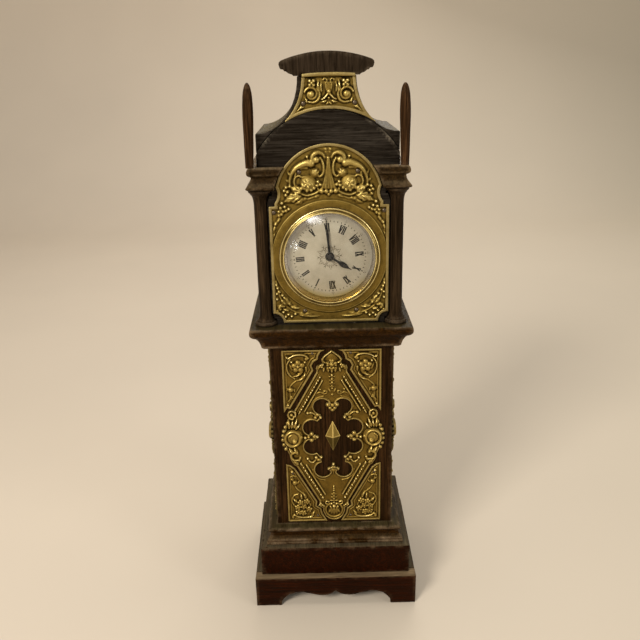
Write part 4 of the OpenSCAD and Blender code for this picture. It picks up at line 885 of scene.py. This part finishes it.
def lozenge_sd(r):
    sd = polygon_sd(r, LOZENGE + [(-x, z) for x, z in LOZENGE[::-1]])
    hole = union(circle_sd(r, 13.4, 8.6, 5.5), circle_sd(r, 13.4, -5.2, 5.4), circle_sd(r, 6.7, 23.4, 5.4),
                 circle_sd(r, 6.7, -22.4, 5.4),
                 polygon_sd(r, [(10.2, 1.7), (13.4, 8.6), (8.2, 14.6), (6.7, 23.4), (0, 20.8), (-6.7, 23.4),
                                (-8.2, 14.6), (-13.4, 8.6), (-10.2, 1.7), (-13.4, -5.2), (-8.2, -13),
                                (-6.7, -22.4), (0, -19.6), (6.7, -22.4), (8.2, -13), (13.4, -5.2)]))
    sd = cut(sd, hole)
    tips = [(10, 2, 1.1), (12, 1.9, 1.35), (13.6, 4.2, 1.45), (13.7, -0.3, 1.45), (15.2, 1.9, 1.8),
            (7.7, 15.8, 1.1), (9.4, 17.6, 1.3), (9.2, 15.6, 1.2), (10.9, 15.8, 1.45),
            (7.8, -13, 1.1), (9.6, -14.8, 1.3), (9.4, -13, 1.1), (11, -13.2, 1.4),
            (0, 21.2, 1.3), (1.5, 22.6, 1.25), (2.8, 24.8, 1.55), (0, 24.4, 2.2),
            (0, -18.3, 1.1), (0, -20.4, 1.3), (2.6, -21.8, 1.4), (0, -23.2, 2.2), (25.6, 1.8, 6.7)]
    tips += [(x, z, 1.25) for x, z in RIM_BEADS]
    return union(sd, *[circle_sd(r, x, z, rad) for x, z, rad in tips])


def draw_lozenge(r, sd):
    s, d, leaf = r.stroke, r.dome, r.leaf
    # banded sides: raised lines with beads between them
    for end in (1, -1):
        (x0, z0), (x1, z1) = ((9.7, 47.2), (24.2, 21)) if end > 0 else ((9.5, -46.9), (24, -19.4))
        length = math.hypot(x1 - x0, z1 - z0)
        ux, uz = (x1 - x0) / length, (z1 - z0) / length
        nx, nz = (uz, -ux) if end > 0 else (-uz, ux)

        def line(depth, t0, t1, w, h):
            s([(x0 + ux * t + nx * depth, z0 + uz * t + nz * depth) for t in (t0, t1)], w, h)
        for row in ((0.7, 0, length + 1, 0.7, 0.85), (2.2, 0.6, length + 0.5, 0.4, 0.5),
                    (BAND, 1.4, length - 0.6, 0.8, 0.6), (5.95, 3.2, length - 2.5, 0.6, 1.1)):
            line(*row)
        for i in range(12):
            t = 1.8 + (length - 2.2) * i / 11
            x, z = x0 + ux * t + nx * BAND, z0 + uz * t + nz * BAND
            if i % 3 == 2:
                s([(x - ux * 0.9, z - uz * 0.9), (x + ux * 0.9, z + uz * 0.9)], 0.6, 1.35)
            else:
                d(x, z, 0.78, 1.45)
    # spade and rosette at the top
    r.stems(((0.5, 0.75, 0.6), 1.2, 0, 61.2, 2.2, 59.6, 4.6, 57.6, 5.6, 55.8, 4.9, 54.2, 3, 53.6))
    r.domes((0, 56.4, 3.6, 0.9, 0.8), (0, 52.9, 1.8, 2.8))
    r.wreath(0, 52.6, 2.5, 20, 1.15, 1.6)
    r.flower(6.9, 52, 2.2, 5, 1.6, 20)
    r.leaves((3, 51, 2.2, 46.6, 1.3, 1.3, 0, -0.4), (4.8, 50.4, 5.4, 46.8, 0.9, 1.1),
        (0, 50.6, 0, 46.4, 1.2, 1.6))
    r.domes((8.3, 50, 1, 1.3))
    r.beads(1, 1.3, 0, 45.2, 0, 42.6, 0, 40.2)
    for z, w in ((44, 1.7), (41.4, 1.45), (39, 1.2), (37.2, 0.95)):
        s([(0, z), (w, z + 0.1)], 0.38, 0.9)
    r.beads(0.75, 1, 0, 37.9, 0, 36.2)
    # small scrolls on the ground above the opening
    r.spiral(4.2, 33.2, 1.5, 0.6, -60, 300, 0.45, 0.8)
    r.stems(((0.5, 0.45, 0.3), 0.7, 5.6, 32.4, 7.6, 33.4, 9.6, 32.6, 10.6, 31.2))
    r.leaves((1, 33.4, 2.4, 36, 0.6, 0.7))
    r.domes((7.6, 35.4, 0.7, 0.8), (0, 31.6, 0.8, 0.8))
    # disc, rosette and drop at the bottom
    r.spiral(0, -53.4, 5.5, 5.5, -90, 60, 0.75, 1)
    r.stems((0.75, 1, 4.2, -50.2, 5.5, -51.6, 5.6, -53.4))
    r.domes((0, -54, 4.2, 0.8, 1), (0, -50.2, 1.5, 2.4))
    r.wreath(0, -50.3, 2.4, -10, 1.05, 1.5)
    for lean in (0, 24, 48):
        a = math.radians(lean)
        leaf((1.2 * math.sin(a), -52), (5.6 * math.sin(a), -52.4 - 5.4 * math.cos(a)), 1.35, 1.2, 0, 0, False)
    r.stems((0.6, 1.2, 3.4, -47.2, 5, -46.6, 5.6, -48.2, 4.4, -49))
    r.flower(8.7, -49.3, 1.7, 4, 1.5, 0)
    r.domes((6.8, -50.4, 0.9, 1.2))
    r.beads(0.95, 1.2, 0, -44.8, 0, -42.6)
    for z, w in ((-46.4, 2.2), (-43.7, 1.6), (-41.4, 1.3)):
        s([(0, z), (w, z)], 0.38, 0.9)
    r.beads(0.7, 0.9, 0, -40.6, 0, -38.6, 0, -37, 0, -35.4)
    # side bosses: a bold ring round a hollow with a pearl and a crescent, beads, scrolls and rays
    r.domes((25.8, 1.4, 6.7, 1.5, 0.3))
    ring = [(25.8 + 4.7 * math.cos(a), 1.3 + 5.2 * math.sin(a)) for a in np.radians(np.arange(-200, 161, 20))]
    s(ring, 1.25, (2.3, 3, 2.3))
    r.stems(((0.4, 0.9, 0.5), 2.3, 26.6, 4, 28.4, 2.4, 28.2, -0.4))
    r.domes((24.7, -0.9, 2, 3))
    r.domes(*((x, z, 1.3, 1.5, 0.4) for x, z in RIM_BEADS))
    r.stems(((0.8, 1.15, 0.8), 1.9, 23.6, 17.4, 23.8, 20, 26.2, 21.2, 28.2, 19.6, 27.8, 16.6, 25.6, 15.4,
            24.6, 17), ((0.7, 1.05, 0.7), 1.8, 22.6, -14.6, 25.8, -14.4, 27.4, -11.6, 26, -9.2, 23.2, -9.2))
    r.leaves((24.2, 7.6, 20.8, 11.6, 1.15, 1.9), (25, 8.2, 22.6, 15.2, 1.2, 1.9),
        (26.4, 8.2, 25.4, 14.2, 1.1, 1.9), (27.8, 8, 28, 14.6, 1.15, 1.9),
        (22.6, -10.9, 25.2, -4.9, 1.4, 1.8, 0, -0.4), (25, -10.6, 28.6, -5.6, 1.5, 1.8, 0, -0.4),
        (22.4, -18.2, 26.4, -13.6, 1.4, 1.7, 0, -0.4), (21.2, -12.2, 22.6, -17, 1.1, 1.4))
    r.domes((26, 18.2, 1.4, 1.7))
    # trefoils round the opening
    r.stems(((0.7, 0.8, 0.9), 1.6, 0, -20.4, 1.8, -20.6, 3.3, -21.9),
        ((0.7, 0.5, 0.3), 1.2, 0, -23.4, 0, -26), ((0.7, 0.65, 0.5), 1.3, 10.6, 17.4, 13, 19.4, 15.2, 19.4),
        ((0.7, 0.65, 0.5), 1.3, 11.2, -14.6, 13.2, -16.6, 15, -16.2, 16.4, -14.4))
    r.domes((10, 2, 1.05, 1.7), (12, 1.9, 1.2, 1.4), (13.6, 4.2, 1.45, 1.7), (13.7, -0.3, 1.45, 1.7),
        (15.6, 1.9, 1.2, 1.4), (17.8, 1.5, 1.2, 1.6), (20.4, 2.1, 1.4, 1.9), (0, 24.4, 1.5, 1.5),
        (2.8, 24.8, 1.5, 1.8), (1.4, 22.5, 1.2, 1.5), (0, 21.2, 1.2, 1.6), (0, -18.3, 1.05, 1.7),
        (0, -22.8, 1.6, 1.4), (7.7, 15.8, 1.05, 1.6), (9.5, 17.8, 1.3, 1.6), (10.9, 15.9, 1.3, 1.6),
        (15.8, 19.2, 1.15, 1.5), (7.8, -13, 1.05, 1.6), (11.1, -13.2, 1.3, 1.6), (9.6, -14.9, 1.3, 1.6),
        (16.6, -13.8, 1.1, 1.5))
    for side in (1, -1):
        s([(5.6, side * 30.6), (9.6, side * 29.4), (12.6, side * 26.4), (13.6, side * 22.6)], 0.45, 0.6)
    edge_bead(r, sd, 1.3, 0.7, 0.6)


def draw_corners(r):
    # upper corner: rosette under a C-scroll, leaf, flower and buds
    r.flower(20.9, 51.4, 4.3, 5, 1.7, 18)
    r.stems(((0.9, 0.8, 0.5), 1.5, 14.6, 57, 16.6, 58.9, 20.2, 59.5, 23.6, 58.9, 26.8, 57.2, 28, 58),
        ((0.5, 0.6, 0.4), 1.1, 25.6, 56.4, 27.6, 53.4, 27.8, 49.4, 26.2, 45.6, 23.2, 43.2),
        (0.42, 0.8, 22.6, 41.4, 25.4, 39, 26.6, 36.4, 26.4, 31.6, 27.4, 26.4),
        ((0.8, 0.6, 0.3), 1.1, 25, 30, 26.6, 29, 27.8, 27.6))
    r.leaves((16.4, 47, 22.6, 41.6, 1.3, 1.6, 3, -1.2), (17.6, 49.2, 24.8, 44.4, 1.2, 1.5, 3, -1),
        (16, 51.4, 15.8, 47, 0.9, 1.1), (24.4, 48.6, 26, 52.8, 0.9, 1.1), (24, 36.4, 23.2, 33.6, 0.7, 1),
        (27.4, 37, 28.8, 34.4, 0.7, 1), (25.2, 31.6, 26.4, 28, 0.9, 1.2, 0, 0.3))
    r.domes((15.6, 56.6, 1.35, 1.6), (27.4, 57.5, 0.95, 1.2), (26, 35.6, 1.9, 1.7), (28, 25, 1.1, 1.3))
    r.beads(0.9, 1.2, 16.6, 54.2, 24.9, 54.6, 20.6, 46.6)
    # lower corner: clusters of rosettes, leaf, flower, bud and a scroll along the bottom
    for x, z in ((20.2, -50.4), (24.2, -50.8), (18.2, -46.6), (16.8, -52.6), (20.6, -55.2), (23.8, -54.6),
                 (22.2, -47.2)):
        r.flower(x, z, 2.3, 5, 1.5, 10 * x)
    r.stems((0.42, 0.9, 15.6, -50, 17.6, -45, 21, -40, 24.6, -36.4, 26.2, -32, 27.6, -25.4),
        ((0.5, 0.55, 0.35), 1, 26.6, -49.6, 28, -45.8, 26.6, -42, 23.6, -40.6),
        (0.5, 1, 24.8, -27.4, 26.4, -26.6, 28.2, -27.4),
        ((0.9, 0.6, 0.5), 1.3, 27.9, -58.4, 26.6, -56.8, 24.8, -58, 20.4, -58.9, 15.8, -58.4, 13.8, -57))
    r.leaves((18.6, -44.6, 20.8, -39.2, 1.1, 1.5, 0, 0.4), (21.4, -45, 21.8, -40.4, 1, 1.4),
        (24.4, -47.2, 27.2, -44, 1.1, 1.4), (24, -33, 22.6, -30.6, 0.7, 1),
        (26.6, -30.4, 28.4, -28.6, 0.8, 1), (15.4, -57.6, 12.8, -54.2, 0.9, 1.1))
    r.domes((25.5, -32, 1.8, 1.7), (27.2, -23.6, 1.2, 1.4), (27.6, -58.8, 1.1, 1.4))


def make_trunk_mounts(side, step):
    tag = {0: "front", 1: "right", -1: "left"}[side]
    # the side mounts take the darker brass with painted shade
    brass = SHADED_SIDE_BRASS if side else TRUNK_BRASS
    r = Relief(SIDE_MOST + 0.4, -62.4, 62.6, step)
    sd = np.maximum(lozenge_sd(r), r.x - SIDE_MOST)
    draw_lozenge(r, sd)
    r.blur(1)
    relief_piece("lozenge_" + tag, r, sd, trunk_face(side), ["lozenge_mounts"], brass, 0.8, 31 + side)
    r = Relief(FIELD_HALF + 0.2, -FIELD_TOP, FIELD_TOP, step)
    sd = union(polygon_sd(r, TOP_CORNER), polygon_sd(r, LOW_CORNER))
    draw_corners(r)
    for x, z in CORNER_PINS:
        r.seat(x, z, 0.6)
    r.blur(1)
    r.h = r.h * soft_step(-sd - 1.1, 0.6)
    edge_bead(r, sd, 1.5, 0.5, 0.35)
    edge_bead(r, sd, 0.75, 0.42, 0.6, 1.9)
    relief_piece("corners_" + tag, r, sd, trunk_face(side), ["corner_mounts"], brass, 1.1, 41 + side)


FINE_STEP, SIDE_STEP = ((0.26, 0.36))
make_mask(FINE_STEP)
make_crest(FINE_STEP)
for face in (0, 1, -1):
    make_trunk_mounts(face, SIDE_STEP if face else FINE_STEP)


def domed(radius, edge, rise, angles):
    """The upper part of a domed head's profile."""
    return [(radius * math.cos(a), edge + (rise - edge) * math.sin(a)) for a in np.radians(angles)]


def make_pins():
    """Domed heads of the pins, one closed mesh."""
    verts, faces = [], []

    def head(place, x, z, r, rise):
        profile = [(0, -0.5), (r * 0.9, -0.5), (r, -0.1), (r, 0.12)]
        profile += domed(r, 0.12, rise, (20, 40, 60, 78, 90))
        points, quads = lathe(profile, 20, lambda a, b, h: place(x + a, h, z + b), step=0.4)
        faces.extend(tuple(i + len(verts) for i in quad) for quad in quads)
        verts.extend(points.tolist())
    for side in (1, -1):
        for x, z in MASK_PINS:
            head(front_at(MASK_Y, DIAL_Z), side * x, z, 1.35, 0.95)
        head(front_at(CREST_Y, 0), CREST_SHIFT + side * CREST_PIN[0], CREST_PIN[1], 1.35, 0.95)
        for face in (0, 1, -1):
            for x, z in CORNER_PINS:
                head(trunk_face(face), side * x, z, 0.9, 0.6)
    add_piece("pin_heads", verts, faces, "case", ["mount_pins"], PIN_STEEL, 50)


make_pins()

# Woodwork: the grain's direction, the tone and the pieces that have them

GRAIN = (
    ("X", "plinth", "skirt_front"), ("Y", "block", "skirt_left skirt_right"), ("F", "block", "plinth_block"),
    ("F", "moulding", "foot_moulding"), ("Z", "trunk", "trunk_front trunk_left trunk_right"),
    ("Z", "olive", "backboard"), ("F", "moulding", "hood_base"), ("X", "arch", "hood_front"),
    ("Z", "gable", "hood_left hood_right"), ("F", "cornice", "cornice_left cornice_right"),
    ("X", "gable", "pagoda_board"), ("X", "olive", "roof_back"), ("Y", "olive", "roof_left roof_right"),
    ("Z", "board", "roof_cap"), ("Z", "olive", "back_door"),
)
EDGE = 0.5
FINE_EDGES = {"roof_cap": 0.16, "cornice_left": 0.22, "cornice_right": 0.22, "foot_moulding": 0.3,
              "hood_base": 0.3}
MORE = {"hood_base": {"dents": 0.14}, "hood_front": {"reach": 0.55, "rubbed": (297, 318)}}


def wood_slot(tone):
    return "dark_wood" if tone in STAINED else "worn_wood"


for grain, tone, names in GRAIN:
    for name in names.split():
        worn(name, wood(grain, tone), wood_slot(tone), FINE_EDGES.get(name, EDGE), **MORE.get(name, {}))

COLUMN_X, COLUMN_Y, COLUMN_Z, COLUMN_H = 39.2, -28.4, 198.5, 81.9
COLUMN_END = [(0, 0), (6, 0), (6.5, 0.35), (6.78, 0.9), (6.8, 1.4), (6.5, 2), (5.9, 2.4), (5.7, 2.5),
              (5.5, 3.1), (4.9, 3.7), (4.5, 4.5), (4.2, 5.6), (4, 6.8), (3.85, 8.4), (3.8, 9.6)]
COLUMN = COLUMN_END + [(rad, COLUMN_H - h) for rad, h in COLUMN_END[::-1]]
# The finials: radius and height as shares, then the foot, the tilt in degrees and the share of the height
FINIAL = [(0, 0), (0.76, 0), (0.79, 0.08), (0.85, 0.2), (0.9, 0.33), (0.96, 0.48), (1, 0.61), (0.99, 0.69),
          (0.96, 0.76), (0.89, 0.84), (0.81, 0.887), (0.70, 0.925), (0.60, 0.95), (0.46, 0.973), (0.30, 0.989),
          (0.14, 0.998), (0, 1)]
FINIAL_R, FINIAL_H, FINIAL_Y, FINIAL_Z, SUNK = 3.05, 44.4, -33.15, 292.8, 0.1
STAND = {"left": (-43.8, 1.3, 1.015), "right": (42.7, -0.8, 0.98)}


def turned_wood(name, profile, x, y, z, replaced, tone, wear_at, tilt=0):
    """A turned piece on the foot (x, y, z), leaning to the right by tilt degrees."""
    cos, sin = math.cos(math.radians(tilt)), math.sin(math.radians(tilt))
    verts, faces = lathe(profile, 44, lambda a, b, h: (x + a * cos + h * sin, y + b, z - a * sin + h * cos),
                         0.12, sum(map(ord, name)))
    height = verts[:, 2] - z
    wear = np.max([np.exp(-((height - w) / 0.8) ** 2) for w in wear_at], axis=0)
    add_piece(name, verts, faces, "case", replaced, wood("Z", tone), 40,
              {"wear": wear * 0.8})


for side, tag in ((-1, "left"), (1, "right")):
    turned_wood("column_" + tag, COLUMN, side * COLUMN_X, COLUMN_Y, COLUMN_Z, ["columns"], "column",
                (1.2, COLUMN_H - 1.2))
    foot, tilt, share = STAND[tag]
    turned_wood("finial_" + tag, [(rad * FINIAL_R, h * FINIAL_H * share - SUNK) for rad, h in FINIAL],
                foot, FINIAL_Y, FINIAL_Z, ["finials"], "finial", (43, 0.5), tilt)


# Bezel, glass, dial and hands

def turned_front(name, profile, y, replaced, material, body="case", turns=144, angle=35, step=0.5):
    verts, faces = lathe(profile, turns, lambda a, b, h: (a, y - h, DIAL_Z + b), step=step)
    add_piece(name, verts, faces, body, replaced, material, angle)


# radius and height, the second part with its height below the nose
NOSE = 3.4
BEZEL = [(25.2, 0), (25.2, -1.3), (24.75, -1.3), (24.95, -0.4), (25.4, 1)]
BEZEL += [(rad, NOSE - low) for rad, low in (
    (25.85, 1.1), (26.45, 1.1), (26.45, 0.45), (26.6, 0.12), (26.9, 0), (27.2, 0.1), (27.4, 0.45), (27.55, 0.62),
    (28.3, 0.85), (28.42, 0.75), (28.6, 0.55), (28.9, 0.5), (29.2, 0.66), (29.42, 1), (29.54, 1.5), (29.6, 2.2),
    (29.6, NOSE), (25.2, NOSE))]
turned_front("bezel_turned", BEZEL, MASK_Y, ["bezel"], POLISHED)

GLASS_R, GLASS_RISE, GLASS_RIM = 26.35, 3.4, 0.6
BALL = (GLASS_R ** 2 + GLASS_RISE ** 2) / (2 * GLASS_RISE)
OPEN = math.asin(GLASS_R / BALL)


def dome(radius, start, end):
    return [(radius * math.sin(a), GLASS_RISE + GLASS_RIM - BALL + radius * math.cos(a))
            for a in np.linspace(start, end, 26)]


turned_front("glass_dome", [(GLASS_R, 0)] + dome(BALL, OPEN, 0) + dome(BALL - 1, 0, OPEN - math.radians(1.5))
             + [(GLASS_R - 1.2, 0), (GLASS_R, 0)], MASK_Y - 2.35, ["glass"], GLASS)


class Prints:
    """Thin closed prisms lying on the dial: numerals, dots and the arabesque."""

    def __init__(self, thick):
        self.thick, self.verts, self.faces = thick, [], []

    def polygon(self, points):
        n, base = len(points), len(self.verts)
        for y in (PRINT_Y - self.thick, PRINT_Y):
            self.verts += [(x, y, DIAL_Z + z) for x, z in points]
        self.faces.append(tuple(range(base, base + n)))
        self.faces.append(tuple(range(base + 2 * n - 1, base + n - 1, -1)))
        self.faces += [(base + (i + 1) % n, base + i, base + n + i, base + n + (i + 1) % n) for i in range(n)]

    def bar(self, x0, z0, x1, z1, width, turn):
        length = math.hypot(x1 - x0, z1 - z0) or 1
        ox, oz = -(z1 - z0) / length * width / 2, (x1 - x0) / length * width / 2
        self.polygon([turn(x0 + ox, z0 + oz), turn(x0 - ox, z0 - oz),
                      turn(x1 - ox, z1 - oz), turn(x1 + ox, z1 + oz)])

    def ribbon(self, points, width):
        p = smooth_curve(points, 0.22)
        t = np.gradient(p, axis=0)
        t /= np.maximum(np.linalg.norm(t, axis=1), 1e-9)[:, None]
        w = width / 2 * np.sin(np.linspace(0.25, math.pi - 0.25, len(p)))
        off = np.stack([-t[:, 1], t[:, 0]], 1) * w[:, None]
        a, b = p + off, p - off
        for i in range(len(p) - 1):
            self.polygon([tuple(a[i]), tuple(b[i]), tuple(b[i + 1]), tuple(a[i + 1])])

    def dot(self, x, z, r, sides=8):
        angles = np.arange(sides) * 2 * math.pi / sides
        self.polygon([(x + r * math.cos(a), z + r * math.sin(a)) for a in angles])

    def make(self, name, material):
        add_piece(name, self.verts, self.faces, "case", [], material, 30)


PRINT_Y = DIAL_Y - 0.005
NUMERALS = ["XII", "I", "II", "III", "IIII", "V", "VI", "VII", "VIII", "IX", "X", "XI"]
# In the photo the dial is turned half round
DIAL_TURN = 175.8
FOOT_R, NUMERAL_H, TRACK_R = 15, 4.9, 21
HEAVY, HAIR, SINGLE, SERIF, WIDEST = 0.88, 0.58, 0.76, 0.15, 4.6
WIDTHS = {"I": 1, "V": 2, "X": 1.8}


def on_dial(angle, r):
    """Maps (x, z) so that z runs outwards from radius r at a clockwise angle from the top."""
    a = math.radians(angle)
    sin, cos = math.sin(a), math.cos(a)
    return lambda x, z: (x * cos + (r + z) * sin, -x * sin + (r + z) * cos)


def draw_numeral(prints, text, angle):
    """Condensed numerals: heavy and hair strokes between thin serifs."""
    total = sum(WIDTHS[c] for c in text)
    squeeze = min(1, WIDEST / total)
    turn = on_dial(angle, FOOT_R)
    end = total * squeeze / 2
    x = -end
    for c in text:
        w = WIDTHS[c] * squeeze
        mid, half = x + w / 2, w * 0.36
        if c == "I":
            prints.bar(mid, 0, mid, NUMERAL_H, SINGLE * squeeze ** 0.5, turn)
        else:
            low, lean = (0.05, 0) if c == "V" else (0, half)
            prints.bar(mid - half, NUMERAL_H, mid + lean, low, HEAVY * squeeze ** 0.5, turn)
            prints.bar(mid + half, NUMERAL_H, mid - lean, low, HAIR, turn)
        x += w
    for z in (0, NUMERAL_H):
        prints.bar(0.05 - end, z, end - 0.05, z, SERIF, turn)


ink = Prints(0.035)
for hour, text in enumerate(NUMERALS):
    draw_numeral(ink, text, DIAL_TURN + 30 * hour)
for minute in range(60):
    turn = on_dial(DIAL_TURN + 6 * minute, TRACK_R)
    if minute % 5:
        ink.bar(0, -0.45, 0, 0.45, 0.36, turn)
    else:
        ink.polygon([turn(0, 0.6), turn(-0.45, 0), turn(0, -0.6), turn(0.45, 0)])
        for x, z in ((-0.5, 1.3), (0.5, 1.3), (0, 2.1)):
            ink.dot(*turn(x, z), 0.24, 6)
ink.make("dial_numerals", INK)

scroll = Prints(0.03)
for i in range(6):
    turn = on_dial(DIAL_TURN + 60 * i, 0)
    for side in (1, -1):
        for width, points in ((0.32, ((0.3, 3), (1.5, 3.5), (2.2, 4.6), (1.6, 5.7), (0.7, 5.3), (1, 4.6))),
                              (0.3, ((0.1, 5.4), (0.7, 6.3), (0.2, 7.2))),
                              (0.28, ((2.4, 5), (3.2, 5.8), (3.1, 6.8)))):
            scroll.ribbon([turn(side * x, z) for x, z in points], width)
    scroll.dot(*turn(0, 7.6), 0.24)
    scroll.dot(*on_dial(DIAL_TURN + 30 + 60 * i, 0)(0, 6.6), 0.26)
scroll.make("dial_arabesque", ink_material("dial_ink_gilt", (0.055, 0.034, 0.014)))

# The cap over the tip of the arbor, which turns with the minute hand
CAP_Y, CAP_R, CAP_EDGE, CAP_RISE = -30.9, 2.1, 0.3, 1.3
turned_front("centre_cap", [(0, 0), (CAP_R, 0), (CAP_R, CAP_EDGE)]
             + domed(CAP_R, CAP_EDGE, CAP_RISE, (20, 40, 60, 75, 90)), CAP_Y, [], BLACKENED,
             "minute", 40, 50, 0.3)

for hand in ("minute_hand", "hour_hand"):
    worn(hand, BLACKENED, "blued_steel", 0.09, 0, 1.2, 30, 0, 0.3)
worn("diamond_bosses", BOSS_BRASS, "stamped_brass", 0.10, 0, 0.9, 15, 0.03, 0.5, 8)


# CAD nodes that stay, with better materials

KEPT = {
    wood("X", "olive"): "bottom_board", ENAMEL: "dial", BLUED: "mainspring hairspring",
    DULL_BRASS: "hinge_leaves door_leaves door_knob drum_brackets winding_key set_knob",
    PLATE_BRASS: "drum_case drum_cover front_plate back_plate",
    WHEEL_BRASS: "barrel barrel_cover centre_wheel third_wheel fourth_wheel escape_wheel balance_wheel "
                 "minute_wheel hour_wheel",
    STEEL: "barrel_arbor click pallet_lever regulator",
}
for material, names in KEPT.items():
    for name in names.split():
        nodes[name].data.materials.clear()
        nodes[name].data.materials.append(material)


# Floor, backdrop and lights, in metres

FLAT_TO, BEND, STAGE_H, STAGE_HALF = 1.1, 0.5, 2.4, 3


def make_stage():
    profile = [(-STAGE_HALF, 0), (FLAT_TO, 0)]
    profile += [(FLAT_TO + BEND * math.sin(a), BEND - BEND * math.cos(a))
                for a in np.linspace(0.08, math.pi / 2, 16)]
    profile.append((FLAT_TO + BEND, STAGE_H))
    xs = np.linspace(-STAGE_HALF, STAGE_HALF, 13)
    n = len(xs)
    faces = [(i * n + j, i * n + j + 1, (i + 1) * n + j + 1, (i + 1) * n + j)
             for i in range(len(profile) - 1) for j in range(n - 1)]
    mesh = bpy.data.meshes.new("stage")
    mesh.from_pydata([(x, y, z) for y, z in profile for x in xs], [], faces)
    mesh.polygons.foreach_set("use_smooth", np.ones(len(faces), bool))
    s = Shader("stage_paper", Roughness=0.75)
    paper = s.ramp(s.noise(0.004, 2), (0.3, (0.58, 0.49, 0.378)), (0.7, (0.61, 0.515, 0.396)))
    # painted shade: the paper is darker towards the right
    s.set(Base_Color=s.mix(s.fit(s.axis("X"), -200, 900, 0, 0.8), paper, (0.49, 0.425, 0.315)))
    mesh.materials.append(s.mat)
    link("stage", mesh)


make_stage()

MIDDLE, DIAL = (0, 0, 0.2), (0, 0, 0.24)
LAMPS = {
    # place, target, size, power, colour, shape; the watch glass mirrors the two glints towards the camera
    "key": ((-0.85, -1.20, 1.15), MIDDLE, (0.5, 0.5), 28, (1, 0.97, 0.93), "RECTANGLE"),
    "fill": ((1.35, -0.95, 0.6), MIDDLE, (0.4, 0.9), 7, (0.94, 0.97, 1), "RECTANGLE"),
    "top": ((0.1, 0.1, 1.5), MIDDLE, (0.8, 0.8), 8, (1, 0.98, 0.95), "RECTANGLE"),
    "back": ((0.3, 1.3, 1), MIDDLE, (1, 0.8), 8, (1, 0.98, 0.96), "RECTANGLE"),
    "glint": ((-0.24, -1.46, 0.60), DIAL, (0.30, 0.14), 0.7, (1, 0.98, 0.95), "ELLIPSE"),
    "low_glint": ((-0.37, -0.86, 0.17), DIAL, (0.03, 0.08), 0.10, (0.95, 0.98, 1), "ELLIPSE"),
}
for name, (place, target, size, power, colour, shape) in LAMPS.items():
    data = bpy.data.lights.new(name, "AREA")
    data.shape, data.energy, data.color = shape, power, colour
    data.size, data.size_y = size
    light = link(name, data)
    light.location = place
    light.rotation_mode = "QUATERNION"
    light.rotation_quaternion = (Vector(target) - Vector(place)).to_track_quat("-Z", "Y")

# The world lights the object dimly; camera, gloss and glass see a pale one
world = bpy.data.worlds.new("world")
bpy.context.scene.world = world
world.use_nodes = True
world.node_tree.nodes.clear()
sky = Nodes(world.node_tree)
ray = sky.new("LightPath").outputs
seen = sky.add(sky.add(ray["Is Camera Ray"], ray["Is Glossy Ray"]), ray["Is Transmission Ray"])
dull = sky.new("Background", {"Color": (0.92, 0.90, 0.87), "Strength": 0.24})
pale = sky.new("Background", {"Color": (0.58, 0.485, 0.37), "Strength": 1})
mixed = sky.new("MixShader", {0: seen, 1: dull.outputs[0], 2: pale.outputs[0]})
sky.new("OutputWorld", {"Surface": mixed.outputs[0]})

bpy.context.scene.view_settings.view_transform = "Standard"
